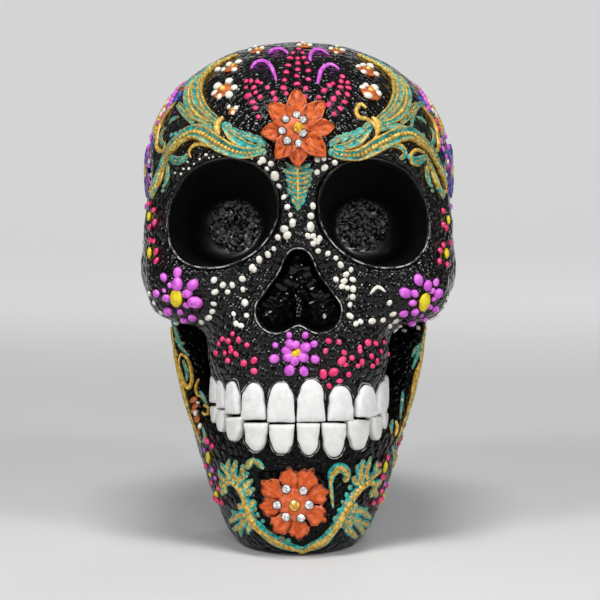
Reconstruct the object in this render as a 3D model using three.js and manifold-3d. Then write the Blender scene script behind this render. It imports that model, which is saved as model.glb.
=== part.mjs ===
// Sugar skull figurine: two castings, two rows of teeth, and the flowers, scrolls and gems on them.
// Millimetres, +Z up, the face looks along -Y, and the origin is the middle of the flat sole.
// Left and right are as seen from the front.
import * as THREE from 'three';
import { mergeVertices } from 'three/addons/utils/BufferGeometryUtils.js';
import Module from 'manifold-3d';

const wasm = await Module();
wasm.setup();

// Skull form
const skullHeight = 180;
const braincaseHalfWidth = 58;
const braincaseHalfDepth = 67;
const braincaseHalfHeight = 58;
const braincaseSetback = 8;
const faceHalfWidth = 56;
const faceHalfHeight = 33;
const faceFront = 61;
const eyeHeight = 120.5;
const eyeSpacing = 55.2;
const socketHalfWidth = 20.6;
const socketHalfHeight = 18.8;
const socketDepth = 30;
const noseTop = 106.8;
const noseLobeHeight = 86.5;
const noseLobeSpacing = 15.2;
const noseLobeRadius = 7;
const noseDepth = 14;
const cheekHeight = 93;
const upperJawHalfWidth = 32;
const upperJawFront = 66;
const gumHeight = 60;

// Lower jaw
const soleHalfWidth = 22;
const chinFront = 62.5;
const jawFlare = 0.25;
const jawWall = 10;
const ramusTop = 88;
const ramusRear = 18;

// Teeth
const archHalfWidth = 30.5;
const archFront = 67;
const archDepth = 31;
const upperToothHeight = 13.8;
const lowerToothHeight = 11.2;
const biteRise = 4.6;
const lowerGumRise = 8.5;
const toothWidths = [10.4, 9.6, 6.2, 4.6, 7];
const toothSpacing = 0.6;
const toothBulge = 1.6;
const gumBarDepth = 8;
const gumBarSetback = 1.2;

// Heights that follow from the teeth
const biteHeight = gumHeight - upperToothHeight;
const lowerGumHeight = biteHeight - lowerToothHeight;
const palateHeight = biteHeight + 3.8;
const mouthFloor = palateHeight + 2;
const jawLedge = biteHeight - 2.2;

// Ornaments
const clearance = 0.3;
const seatGap = 0.5;
const foreheadFlowerRadius = 12.8;
const foreheadFlowerRise = 29.5;
const chinFlowerRadius = 12;
const chinFlowerHeight = lowerGumHeight - chinFlowerRadius - 3.5;
const sideFlowerRadius = 12;
const backFlowerRadius = 13;
const flowerThickness = 2.2;
const centreGemDiameter = 4;
const foreheadGemDiameter = 2.7;
const foreheadGemCircle = 9;
const chinGemDiameter = 3.2;
const chinGemCircle = 9.6;
const gemHeight = 1.3;
const daisyRadius = 4;
const crownDaisyThickness = 1.5;
const cheekFlowerRadius = 8;
const lipFlowerRadius = 6;
const templeFlowerRadius = 4.5;
const paintFlowerThickness = 1.4;
const leafLength = 14;
const leafHalfWidth = 4.6;
const leafThickness = 1.4;
const scrollWidth = 4;
const scrollThickness = 1.6;
const commaWidth = 2;
const commaThickness = 1.2;

// Blended solid forms: negative inside, in mm, the right half mirrored to the left.
const smoothMin = (a, b, blend) => {
  const overlap = Math.max(blend - Math.abs(a - b), 0) / blend;
  return Math.min(a, b) - overlap * overlap * blend / 4;
};
const smoothMax = (a, b, blend) => -smoothMin(-a, -b, blend);
const clamp01 = (t) => Math.min(Math.max(t, 0), 1);
const ease = (t) => clamp01(t) ** 2 * (3 - 2 * clamp01(t));
const tiny = 1e-12;

// A rounded lobe. Its squareness is the exponent of its front outline and of its depth.
const lobe = (centre, half, [front, deep]) => (x, y, z) => {
  const u = Math.abs(x - centre[0]) / half[0];
  const v = Math.abs(y - centre[1]) / half[1];
  const w = Math.abs(z - centre[2]) / half[2];
  const outline = (u ** front + w ** front + tiny) ** (1 / front);
  const level = (outline ** deep + v ** deep + tiny) ** (1 / deep);
  const share = (outline / level) ** (deep - 1);
  const slope = Math.hypot(
    share * (u / outline) ** (front - 1) / half[0],
    (v / level) ** (deep - 1) / half[1],
    share * (w / outline) ** (front - 1) / half[2],
  );
  return (level - 1) / (slope + tiny);
};

// A tapered round bar from one point to another.
const bar = (from, to, fromRadius, toRadius) => (x, y, z) => {
  const step = to.map((value, i) => value - from[i]);
  const length2 = step.reduce((sum, value) => sum + value * value, 0);
  const dot = (x - from[0]) * step[0] + (y - from[1]) * step[1] + (z - from[2]) * step[2];
  const t = clamp01(dot / length2);
  const gap = Math.hypot(x - from[0] - t * step[0], y - from[1] - t * step[1], z - from[2] - t * step[2]);
  return gap - fromRadius - (toRadius - fromRadius) * t;
};

const browHeight = eyeHeight + 19.5;
const eyeX = eyeSpacing / 2;
const faceSetback = 15;

const braincase = lobe(
  [0, braincaseSetback, skullHeight - braincaseHalfHeight],
  [braincaseHalfWidth, braincaseHalfDepth, braincaseHalfHeight],
  [2.2, 2.2],
);
const boneForms = [
  {
    form: lobe(
      [0, -braincaseSetback, browHeight + 2],
      [0.79 * braincaseHalfWidth, faceFront - braincaseSetback, 0.55 * braincaseHalfHeight],
      [2.2, 2.4],
    ),
    blend: 10,
  },
  {
    form: lobe(
      [0, -faceSetback, eyeHeight - 8.5],
      [faceHalfWidth, faceFront - faceSetback, faceHalfHeight],
      [2.5, 3.2],
    ),
    blend: 8,
  },
  { form: bar([9, 9 - faceFront, browHeight], [35, 17 - faceFront, browHeight], 8.5, 6.5), blend: 12 },
  {
    form: lobe(
      [0.64 * faceHalfWidth, -0.64 * faceFront, cheekHeight],
      [0.31 * faceHalfWidth, 0.33 * faceFront, 0.39 * faceHalfHeight],
      [2.4, 2.4],
    ),
    blend: 9,
  },
  {
    form: bar([faceHalfWidth - 10, -26, cheekHeight + 4], [faceHalfWidth - 5, 14, cheekHeight + 9], 8, 5),
    blend: 9,
  },
  { form: lobe([0, -42, gumHeight + 12], [upperJawHalfWidth, upperJawFront - 42, 29], [2.4, 2.6]), blend: 8 },
  { form: bar([0, 5 - faceFront, eyeHeight + 11.5], [0, -faceFront, noseTop + 1], 8, 6), blend: 7 },
];
const templeHollow = lobe(
  [braincaseHalfWidth + 10, -braincaseSetback, eyeHeight],
  [0.24 * braincaseHalfWidth, 0.36 * braincaseHalfDepth, 0.31 * braincaseHalfHeight],
  [2, 2],
);
const cheekHollow = lobe(
  [upperJawHalfWidth + 15, -0.4 * upperJawFront, gumHeight + 2],
  [0.41 * upperJawHalfWidth, 0.41 * upperJawFront, 20],
  [2.3, 2.3],
);
function cranium({ x, y, z }) {
  const side = Math.abs(x);
  let d = braincase(side, y, z);
  for (const { form, blend } of boneForms) d = smoothMin(d, form(side, y, z), blend);
  d = smoothMax(d, -templeHollow(side, y, z), 10);
  d = smoothMax(d, -cheekHollow(side, y, z), 6);
  return smoothMax(d, palateHeight - z, 2);
}

// The jaw's plan is a rounded horseshoe outline that widens as it rises from the sole.
const jawSquareness = 2.4;
const jawOutlineRear = 28;
const soleRounding = 9.5;
const chinRounding = 7;
const chinLean = 0.045;
function jawSection(z) {
  const rise = Math.max(z, 0);
  const flare = jawFlare * Math.max(rise - 12, 0);
  const halfWidth = soleHalfWidth + soleRounding * (1 - Math.exp(-rise / soleRounding)) + flare;
  const lean = chinLean * Math.max(rise - 24, 0);
  const front = -chinFront + chinRounding * Math.exp(-2 * rise / chinRounding) + lean;
  const halfDepth = (jawOutlineRear - front) / 2;
  return { halfWidth, halfDepth, middle: front + halfDepth };
}
function jawOutline(x, y, z) {
  const { halfWidth, halfDepth, middle } = jawSection(z);
  const u = x / halfWidth;
  const v = Math.abs(y - middle) / halfDepth;
  const level = (u ** jawSquareness + v ** jawSquareness + tiny) ** (1 / jawSquareness);
  const slope = Math.hypot(
    (u / level) ** (jawSquareness - 1) / halfWidth,
    (v / level) ** (jawSquareness - 1) / halfDepth,
  );
  return (level - 1) / (slope + tiny);
}

const chinBoss = lobe([0, 9.5 - chinFront, 17], [20, 9.5, 13], [2, 2]);
const throat = bar([0, 44, 0], [0, 60, 0], 28, 28);
const soleAllowance = 6;
const ramusStart = 36;
const ramusSlope = 1.25;
function mandible({ x, y, z }) {
  const side = Math.abs(x);
  const outline = jawOutline(side, y, z);
  // The upper edge follows the tooth line, then climbs the front of the ramus.
  const climb = y + ramusStart;
  const edge = Math.min(jawLedge + ramusSlope * (climb + Math.hypot(climb, 7.7)) / 2, ramusTop);
  let d = smoothMax(outline, (z - edge) * 0.66, 7);
  const rear = ramusRear - 14 + 14 * ease((z - 2) / 30) - 0.06 * Math.max(z - 40, 0);
  d = smoothMax(d, y - rear, 8);
  d = smoothMax(d, -smoothMax(throat(side, y, 0), 14 - z, 8), 5);
  return Math.max(smoothMin(d, chinBoss(side, y, z), 6), -soleAllowance - z);
}
const skin = (p) => Math.min(cranium(p), mandible(p));

// Mesh helpers
const gridMargin = 20;
const cutOverrun = 12;
function geometryFrom(points, triangles) {
  const geometry = new THREE.BufferGeometry();
  const values = points.flatMap((p) => [p.x, p.y, p.z]);
  geometry.setAttribute('position', new THREE.Float32BufferAttribute(values, 3));
  const volume = triangles.reduce((sum, [a, b, c]) => {
    return sum + points[a].dot(new THREE.Vector3().crossVectors(points[b], points[c]));
  }, 0);
  geometry.setIndex(triangles.flatMap(([a, b, c]) => (volume > 0 ? [a, b, c] : [a, c, b])));
  return geometry;
}

function solid(geometry) {
  const bare = geometry.clone();
  bare.deleteAttribute('normal');
  bare.deleteAttribute('uv');
  const merged = mergeVertices(bare, 1e-4);
  return new wasm.Manifold(new wasm.Mesh({
    numProp: 3,
    vertProperties: new Float32Array(merged.attributes.position.array),
    triVerts: new Uint32Array(merged.index.array),
  }));
}

function geometryOf(manifold) {
  const mesh = manifold.getMesh();
  const geometry = new THREE.BufferGeometry();
  geometry.setAttribute('position', new THREE.BufferAttribute(new Float32Array(mesh.vertProperties), 3));
  geometry.setIndex(new THREE.BufferAttribute(new Uint32Array(mesh.triVerts), 1));
  return geometry;
}
const join = (geometries) => geometries.map(solid).reduce((whole, piece) => whole.add(piece));

const gradientStep = 0.2;
function gradient(field, p) {
  const slope = new THREE.Vector3();
  for (const axis of ['x', 'y', 'z']) {
    const ahead = p.clone();
    const behind = p.clone();
    ahead[axis] += gradientStep;
    behind[axis] -= gradientStep;
    slope[axis] = (field(ahead) - field(behind)) / (2 * gradientStep);
  }
  return slope;
}

// Slides a point along a direction, or straight down the slope, until it lies on the form's surface.
function settle(field, start, direction, reach = 6) {
  const p = start.clone();
  for (let i = 0; i < 14; i++) {
    const slope = gradient(field, p);
    const along = direction ?? slope.clone().normalize();
    const step = field(p) / Math.max(slope.dot(along), 0.2);
    p.addScaledVector(along, -Math.min(Math.max(step, -reach), reach));
  }
  return p;
}

// Grid lines from one value to another in steps of about the given size.
function gridLines(from, to, size) {
  const count = Math.round((to - from) / size);
  return Array.from({ length: count + 1 }, (_, i) => from + (to - from) * i / count);
}

// Where two opposite corners of a grid square are inside and the other two outside, the surface would
// pinch to a line there. The outside corner nearest the surface is taken in, until no such square is left.
function openCheckers(values, size, at) {
  let changed = true;
  while (changed) {
    changed = false;
    for (let i = 0; i + 1 < size[0]; i++) {
      for (let j = 0; j + 1 < size[1]; j++) {
        for (let k = 0; k + 1 < size[2]; k++) {
          for (let axis = 0; axis < 3; axis++) {
            const ring = [[0, 0], [1, 0], [1, 1], [0, 1]].map(([m, n]) => {
              const node = [i, j, k];
              node[(axis + 1) % 3] += m;
              node[(axis + 2) % 3] += n;
              return at(...node);
            });
            const inside = ring.map((node) => values[node] < 0);
            if (inside[0] !== inside[2] || inside[1] !== inside[3] || inside[0] === inside[1]) continue;
            const outside = ring.filter((node, n) => !inside[n]);
            const nearest = values[outside[0]] < values[outside[1]] ? outside[0] : outside[1];
            values[nearest] = -1e-3;
            changed = true;
          }
        }
      }
    }
  }
}

// Wraps a mesh round a form: one point in each grid cell that the surface crosses, moved onto the surface
// and then out from it by the given growth.
function wrap(field, [xs, ys, zs], growth = 0) {
  const size = [xs.length, ys.length, zs.length];
  const at = (i, j, k) => (i * size[1] + j) * size[2] + k;
  const values = new Float64Array(size[0] * size[1] * size[2]);
  const corner = (i, j, k) => new THREE.Vector3(xs[i], ys[j], zs[k]);
  const points = [];
  const cells = new Map();
  const triangles = [];
  for (let i = 0; i < size[0]; i++) {
    for (let j = 0; j < size[1]; j++) {
      for (let k = 0; k < size[2]; k++) values[at(i, j, k)] = field(corner(i, j, k));
    }
  }
  openCheckers(values, size, at);
  const cellPoint = (i, j, k) => {
    const key = at(i, j, k);
    if (!cells.has(key)) {
      const sum = new THREE.Vector3();
      let count = 0;
      for (let axis = 0; axis < 3; axis++) {
        for (let n = 0; n < 4; n++) {
          const from = [i, j, k];
          from[(axis + 1) % 3] += n & 1;
          from[(axis + 2) % 3] += n >> 1;
          const to = [...from];
          to[axis] += 1;
          const a = values[at(...from)];
          const b = values[at(...to)];
          if ((a < 0) === (b < 0)) continue;
          sum.add(corner(...from).lerp(corner(...to), a / (a - b)));
          count++;
        }
      }
      cells.set(key, points.length);
      const foot = settle(field, sum.divideScalar(count), undefined, 1);
      points.push(foot.addScaledVector(gradient(field, foot).normalize(), growth));
    }
    return cells.get(key);
  };
  for (let i = 1; i < size[0] - 1; i++) {
    for (let j = 1; j < size[1] - 1; j++) {
      for (let k = 1; k < size[2] - 1; k++) {
        for (let axis = 0; axis < 3; axis++) {
          const next = [i, j, k];
          next[axis] += 1;
          const inside = values[at(i, j, k)] < 0;
          if (inside === values[at(...next)] < 0) continue;
          const around = [[0, 0], [1, 0], [1, 1], [0, 1]].map(([m, n]) => {
            const cell = [i, j, k];
            cell[(axis + 1) % 3] -= m;
            cell[(axis + 2) % 3] -= n;
            return cellPoint(...cell);
          });
          if (!inside) around.reverse();
          const [a, b, c, d] = around;
          const short = points[a].distanceTo(points[c]) < points[b].distanceTo(points[d]);
          triangles.push(...(short ? [[a, b, c], [a, c, d]] : [[a, b, d], [b, c, d]]));
        }
      }
    }
  }
  return geometryFrom(points, triangles);
}

// Joins a row of equal rings into a closed tube with flat ends.
function loft(rings) {
  const sides = rings[0].length;
  const triangles = [];
  for (let r = 0; r + 1 < rings.length; r++) {
    for (let i = 0; i < sides; i++) {
      const a = r * sides + i;
      const b = r * sides + (i + 1) % sides;
      triangles.push([a, b, b + sides], [a, b + sides, a + sides]);
    }
  }
  const last = (rings.length - 1) * sides;
  for (let i = 1; i + 1 < sides; i++) triangles.push([0, i + 1, i], [last, last + i, last + i + 1]);
  return geometryFrom(rings.flat(), triangles);
}

// A raised pad: rings from the middle out to an outline, and the same rings back along its underside.
function pad({ place, outline, height, rings, sides, underside }) {
  const points = [];
  const triangles = [];
  const layer = (level) => {
    const first = points.length;
    points.push(place(0, 0, level(0, 0)));
    for (let r = 1; r <= rings; r++) {
      for (let i = 0; i < sides; i++) {
        const angle = 2 * Math.PI * i / sides;
        const [u, v] = outline(angle);
        points.push(place(u * r / rings, v * r / rings, level(r / rings, angle)));
      }
    }
    return first;
  };
  const cover = (first, turn) => {
    for (let i = 0; i < sides; i++) {
      const next = (i + 1) % sides;
      triangles.push(turn([first, first + 1 + i, first + 1 + next]));
      for (let r = 0; r + 1 < rings; r++) {
        const a = first + 1 + r * sides + i;
        const b = first + 1 + r * sides + next;
        triangles.push(turn([a, a + sides, b + sides]), turn([a, b + sides, b]));
      }
    }
  };
  const top = layer(height);
  const bottom = layer(() => underside);
  cover(top, (t) => t);
  cover(bottom, ([a, b, c]) => [a, c, b]);
  const rim = 1 + (rings - 1) * sides;
  for (let i = 0; i < sides; i++) {
    const next = (i + 1) % sides;
    const a = top + rim + i;
    const b = top + rim + next;
    triangles.push([a, bottom + rim + i, bottom + rim + next], [a, bottom + rim + next, b]);
  }
  return geometryFrom(points, triangles);
}

// The seat of an ornament: a point on the skull, the way out of it, and the ornament's up and right.
function seat([x, y, z], upHint = new THREE.Vector3(0, 0, 1)) {
  const centre = settle(skin, new THREE.Vector3(x, y, z));
  const out = gradient(skin, centre).normalize();
  const right = new THREE.Vector3().crossVectors(upHint, out).normalize();
  const up = new THREE.Vector3().crossVectors(out, right);
  const place = (u, v, h) => {
    const start = centre.clone().addScaledVector(right, u).addScaledVector(up, v);
    const foot = settle(skin, start, out);
    return foot.addScaledVector(out, h + seatGap);
  };
  return { centre, out, right, up, place };
}

// Flower outlines: the reach of the petals at an angle measured from the first petal's tip.
const pointedPetals = (count, radius) => (angle) => {
  const wave = Math.abs(Math.cos(count * angle / 2));
  const reach = radius * (0.66 + 0.34 * wave ** 0.9);
  return [reach * Math.sin(angle), reach * Math.cos(angle)];
};
const notchedPetals = (count, radius) => (angle) => {
  const wave = Math.abs(Math.cos(count * angle / 2));
  const reach = radius * (0.66 + 0.34 * Math.sin(Math.PI * (0.12 + 0.58 * wave ** 0.7)));
  return [reach * Math.sin(angle), reach * Math.cos(angle)];
};
const roundPetals = (count, radius) => (angle) => {
  const wave = Math.abs(Math.cos(count * angle / 2));
  const reach = radius * (0.6 + 0.4 * Math.sqrt(wave));
  return [reach * Math.sin(angle), reach * Math.cos(angle)];
};

// A flower of two heights: a domed middle and petals that lift a little along their ribs.
const petalHeight = (count, thickness) => (r, angle) => {
  const rib = 0.5 + 0.5 * Math.cos(count * angle);
  return thickness * (1 - 0.45 * r * r + 0.2 * r * rib);
};
const domeHeight = (thickness) => (r) => thickness * (1 - 0.6 * r ** 3);

const petalSides = 4;
const bigPetals = 8;
const flowerPad = (where, outline, height, petals, rings = 2) => {
  return pad({ place: where.place, outline, height, rings, sides: petals * petalSides, underside: 0 });
};
const bigFlower = (where, outline) => {
  return solid(flowerPad(where, outline, petalHeight(bigPetals, flowerThickness), bigPetals));
};

// A cut flat-back gem, made about its own axis with its flat back at the origin.
function gem(diameter) {
  const radius = diameter / 2;
  const profile = [[0, 0], [radius, 0], [radius, 0.3 * gemHeight], [0.6 * radius, gemHeight], [0, gemHeight]];
  const geometry = new THREE.LatheGeometry(profile.map(([r, h]) => new THREE.Vector2(r, h)), 6);
  return geometry.rotateX(Math.PI / 2);
}

// A flower with small round settings that hold its gems. Gem places are angles on a circle, or the middle.
const settingWall = 0.5;
const settingTop = flowerThickness + 0.5;
function gemFlower(where, outline, gems) {
  let body = bigFlower(where, outline);
  const turn = new THREE.Quaternion().setFromUnitVectors(new THREE.Vector3(0, 1, 0), where.out);
  const stones = gems.map(({ circle, angle, diameter }) => {
    const foot = where.place(circle / 2 * Math.sin(angle), circle / 2 * Math.cos(angle), 0);
    const depth = settingTop - 0.6;
    const radius = diameter / 2 + settingWall;
    const setting = new THREE.CylinderGeometry(radius, radius, depth, 6);
    setting.applyQuaternion(turn);
    const middle = foot.clone().addScaledVector(where.out, 0.6 + depth / 2);
    setting.translate(middle.x, middle.y, middle.z);
    body = body.add(solid(setting));
    return { diameter, foot: foot.addScaledVector(where.out, settingTop + clearance) };
  });
  return { body, stones };
}

// A tapering strand with a ridge along its middle, laid along points on the skull.
function strand(points, width, thickness, { steps = 12, startShare = 0.4, endShare = 0.35 } = {}) {
  const curve = new THREE.CatmullRomCurve3(points.map(([x, y, z]) => new THREE.Vector3(x, y, z)));
  const feet = curve.getSpacedPoints(steps).map((p) => settle(skin, p));
  const rings = feet.map((foot, i) => {
    const out = gradient(skin, foot).normalize();
    const ahead = feet[Math.min(i + 1, steps)].clone().sub(feet[Math.max(i - 1, 0)]).normalize();
    const across = new THREE.Vector3().crossVectors(out, ahead).normalize();
    const t = i / steps;
    const swell = startShare + (1 - startShare) * t / 0.3;
    const taper = endShare + (1 - endShare) * (1 - t) / 0.4;
    const share = Math.min(swell, taper, 1);
    const half = width * share / 2;
    const high = thickness * (0.5 + 0.5 * share);
    const section = [[-1, 0], [0, 1], [1, 0]];
    return section.map(([s, h]) => {
      return foot.clone().addScaledVector(across, s * half).addScaledVector(out, seatGap + h * high);
    });
  });
  return loft(rings);
}
const mirrored = (points, side) => points.map(([x, y, z]) => [side * x, y, z]);
const raised = (points, height) => points.map(([x, y, z]) => [x, y, z + height]);
const scroll = (strands, side) => join(strands.map(({ points, share = 1, ...ends }) => {
  return strand(mirrored(points, side), scrollWidth * share, scrollThickness, ends);
}));

// The eye socket is a cup that leans in and down, and narrows, as it deepens. Its bottom edge is round.
const socketLean = 0.13;
const socketDroop = 0.28;
const socketTaper = 0.014;
const socketSquareness = 2.5;
const socketSides = 24;
const socketBottomRadius = 5;
function socketCup(side) {
  const depths = [-cutOverrun, 0, ...gridLines(socketDepth / 3, socketDepth - socketBottomRadius, 8)];
  const rings = depths.map((depth) => ({ depth, inset: 0 }));
  for (const turn of [Math.PI / 4, Math.PI / 2]) {
    const depth = socketDepth - socketBottomRadius * (1 - Math.sin(turn));
    rings.push({ depth, inset: socketBottomRadius * (1 - Math.cos(turn)) });
  }
  return loft(rings.map(({ depth, inset }) => {
    const reach = Math.max(depth, 0);
    const size = 1 - socketTaper * reach;
    return Array.from({ length: socketSides }, (_, i) => {
      const angle = 2 * Math.PI * i / socketSides;
      const across = Math.sign(Math.cos(angle)) * Math.abs(Math.cos(angle)) ** (2 / socketSquareness);
      const up = Math.sign(Math.sin(angle)) * Math.abs(Math.sin(angle)) ** (2 / socketSquareness);
      return new THREE.Vector3(
        side * (eyeX - socketLean * reach + across * (socketHalfWidth * size - inset)),
        depth - faceFront + 1,
        eyeHeight - socketDroop * reach + up * (socketHalfHeight * size - inset),
      );
    });
  }));
}

// The nose opening is an upside-down heart: two round lobes that run up to one apex.
const noseApexRadius = 2.8;
const noseSides = 24;
const noseBottomRadius = 3;
function nosePit() {
  const apex = [0, 0, noseTop - noseApexRadius];
  const lobeMiddle = [noseLobeSpacing / 2, 0, noseLobeHeight];
  const side = bar(apex, lobeMiddle, noseApexRadius, noseLobeRadius);
  const heart = (x, z) => smoothMin(side(x, 0, z), side(-x, 0, z), noseLobeRadius - 1);
  const middle = (noseTop + noseLobeHeight) / 2 - noseApexRadius;
  const outline = Array.from({ length: noseSides }, (_, i) => {
    const angle = 2 * Math.PI * i / noseSides;
    let reach = 0;
    for (let step = 0; step < 40; step++) {
      reach -= 0.7 * heart(reach * Math.sin(angle), middle + reach * Math.cos(angle));
    }
    return [reach * Math.sin(angle), reach * Math.cos(angle)];
  });
  const levels = [
    { depth: -cutOverrun, size: 1 },
    { depth: noseDepth - noseBottomRadius, size: 1 },
    { depth: noseDepth, size: 0.75 },
  ];
  return loft(levels.map(({ depth, size }) => {
    return outline.map(([x, z]) => new THREE.Vector3(x * size, depth - faceFront - 1, middle + z * size));
  }));
}

// The mouth's hollow behind the teeth: it keeps the jaw's wall, and ends at the front of the rami.
const mouthRear = 20;
const mouthSides = 20;
function mouthHollow() {
  return loft([mouthFloor, (mouthFloor + ramusTop) / 2, ramusTop + gridMargin].map((z) => {
    const { halfWidth, halfDepth, middle } = jawSection(z);
    const room = { x: halfWidth - jawWall, y: halfDepth - jawWall };
    const rear = Math.acos(((mouthRear + middle) / room.y) ** (jawSquareness / 2));
    return Array.from({ length: mouthSides + 1 }, (_, i) => {
      const angle = rear * (2 * i / mouthSides - 1);
      const across = Math.sign(angle) * Math.abs(Math.sin(angle)) ** (2 / jawSquareness);
      return new THREE.Vector3(room.x * across, middle - room.y * Math.cos(angle) ** (2 / jawSquareness), z);
    });
  }));
}

// The castings
const castStep = 9;
const faceStep = 8;
const rearStep = 12;
const jawStep = 7.6;
const faceRear = -24;
const gridHalfWidth = Math.max(braincaseHalfWidth, faceHalfWidth) + gridMargin;
const craniumLines = [
  gridLines(-gridHalfWidth, gridHalfWidth, castStep),
  [
    ...gridLines(-archFront - gridMargin, faceRear, faceStep),
    ...gridLines(faceRear, braincaseSetback + braincaseHalfDepth + gridMargin, rearStep).slice(1),
  ],
  gridLines(palateHeight - gridMargin, skullHeight + gridMargin, castStep),
];
const jawLines = [
  gridLines(-gridHalfWidth, gridHalfWidth, jawStep),
  gridLines(-archFront - gridMargin, jawOutlineRear + gridMargin, jawStep),
  gridLines(-soleAllowance - gridMargin, ramusTop + gridMargin, jawStep),
];

// The dental arch, as a plan curve measured along its length from the middle.
const archSquareness = 2.3;
const archCurve = new THREE.SplineCurve(Array.from({ length: 61 }, (_, i) => {
  const angle = Math.PI / 2 * (i / 30 - 1);
  const x = archHalfWidth * Math.sign(angle) * Math.abs(Math.sin(angle)) ** (2 / archSquareness);
  const y = archDepth - archFront - archDepth * Math.abs(Math.cos(angle)) ** (2 / archSquareness);
  return new THREE.Vector2(x, y);
}));
const archLength = archCurve.getLength();
function archPoint(s, out, z) {
  const t = clamp01(0.5 + s / archLength);
  const p = archCurve.getPointAt(t);
  const along = archCurve.getTangentAt(t);
  return new THREE.Vector3(p.x + along.y * out, p.y - along.x * out, z);
}
const archShare = (s) => (2 * s / archLength) ** 2;
const biteLine = (s) => biteHeight + biteRise * archShare(s);
const lowerGumLine = (s) => lowerGumHeight + lowerGumRise * archShare(s);
const rowHalfLength = toothWidths.reduce((sum, width) => sum + width + toothSpacing, 0);

// A band that follows the arch between two depths and two heights.
const rowStations = gridLines(-rowHalfLength, rowHalfLength, 7);
const grooveEnd = Math.min(rowHalfLength + 8, archLength / 2);
const grooveStations = [-grooveEnd, ...rowStations, grooveEnd];
function archBand(stations, inner, outer, low, high) {
  const rings = stations.map((s) => [
    archPoint(s, -inner, low(s)),
    archPoint(s, -outer, low(s)),
    archPoint(s, -outer, high(s)),
    archPoint(s, -inner, high(s)),
  ]);
  return loft(rings);
}

// One tooth: a bulging pad on the arch, round at the gum and square at the bite.
function tooth(middle, width, low, high, gumUp) {
  const halfHeight = (high - low) / 2;
  const outline = (angle) => {
    const up = Math.sin(angle);
    const across = Math.cos(angle);
    const power = up * gumUp > 0 ? 0.95 : 0.5;
    const bowed = (value) => Math.sign(value) * Math.abs(value) ** power;
    return [width / 2 * bowed(across), halfHeight * bowed(up)];
  };
  return pad({
    place: (u, v, h) => archPoint(middle + u, h, low + halfHeight + v),
    outline,
    height: (r) => toothBulge * (1 - r ** 3) - gumBarSetback * r ** 6 * 0.5,
    rings: 2,
    sides: 10,
    underside: -gumBarSetback - 1.5,
  });
}

// A row of ten teeth on the gum bar that sits in the jaw's groove.
function toothRow(lowLine, highLine, gumUp) {
  const pieces = [archBand(rowStations, gumBarDepth, gumBarSetback, lowLine, highLine)];
  for (const side of [-1, 1]) {
    let start = toothSpacing / 2;
    for (const width of toothWidths) {
      const middle = side * (start + width / 2);
      pieces.push(tooth(middle, width, lowLine(middle), highLine(middle), gumUp));
      start += width + toothSpacing;
    }
  }
  return join(pieces);
}
const biteGap = clearance / 2;
const upperLow = (s) => biteLine(s) + biteGap;
const lowerHigh = (s) => biteLine(s) - biteGap;
const upperTeeth = toothRow(upperLow, () => gumHeight, 1);
const lowerTeeth = toothRow(lowerGumLine, lowerHigh, -1);
const grooveDepth = gumBarDepth + clearance;
const grooveFront = -8;
const upperGroove = archBand(
  grooveStations, grooveDepth, grooveFront, (s) => biteLine(s) - cutOverrun, () => gumHeight + clearance,
);
const grooveFloor = (s) => lowerGumLine(s) - clearance;
const lowerGroove = archBand(
  grooveStations, grooveDepth, grooveFront, grooveFloor, (s) => biteLine(s) + cutOverrun,
);

const craniumCast = [socketCup(-1), socketCup(1), nosePit(), upperGroove]
  .reduce((cast, cutter) => cast.subtract(solid(cutter)), solid(wrap(cranium, craniumLines)));
const craniumRoom = solid(wrap(cranium, craniumLines, clearance));
const jawRoom = solid(wrap(mandible, jawLines, clearance));
const soleBlock = new THREE.BoxGeometry(4 * soleHalfWidth, 4 * chinFront, 40).translate(0, 0, -20);
const mandibleCast = solid(wrap(mandible, jawLines))
  .subtract(solid(soleBlock))
  .subtract(craniumRoom)
  .subtract(solid(mouthHollow()))
  .subtract(solid(lowerGroove));

// An ornament is bedded on the castings: what comes nearer to them than the clearance is cut away.
const bedded = (ornament) => geometryOf(ornament.subtract(craniumRoom).subtract(jawRoom));

// Flowers with gems
const foreheadSeat = seat([-0.5, -faceFront, eyeHeight + foreheadFlowerRise]);
const chinSeat = seat([-1.3, -chinFront - 2, chinFlowerHeight]);
const spread = (count, circle, diameter, first = 0) => Array.from({ length: count }, (_, i) => {
  return { circle, angle: first + 2 * Math.PI * i / count, diameter };
});
const middleGem = { circle: 0, angle: 0, diameter: centreGemDiameter };
const foreheadFlower = gemFlower(
  foreheadSeat,
  pointedPetals(bigPetals, foreheadFlowerRadius),
  [middleGem, ...spread(7, foreheadGemCircle, foreheadGemDiameter)],
);
const chinFlower = gemFlower(
  chinSeat,
  notchedPetals(bigPetals, chinFlowerRadius),
  [middleGem, ...spread(6, chinGemCircle, chinGemDiameter, Math.PI / 6)],
);

// The leaf that hangs under the forehead flower
const leafSeat = seat([
  -0.5, -faceFront - 3, eyeHeight + foreheadFlowerRise - foreheadFlowerRadius - clearance - leafLength / 2,
]);
const leafLobes = 5;
const leaf = pad({
  place: leafSeat.place,
  outline: (angle) => {
    const down = Math.cos(angle);
    const lobed = 0.82 + 0.18 * Math.cos(leafLobes * angle * 2);
    return [leafHalfWidth * Math.sin(angle) * lobed * (1 - 0.3 * down), -leafLength / 2 * down * 0.95];
  },
  height: domeHeight(leafThickness),
  rings: 2,
  sides: 20,
  underside: 0,
});

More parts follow.
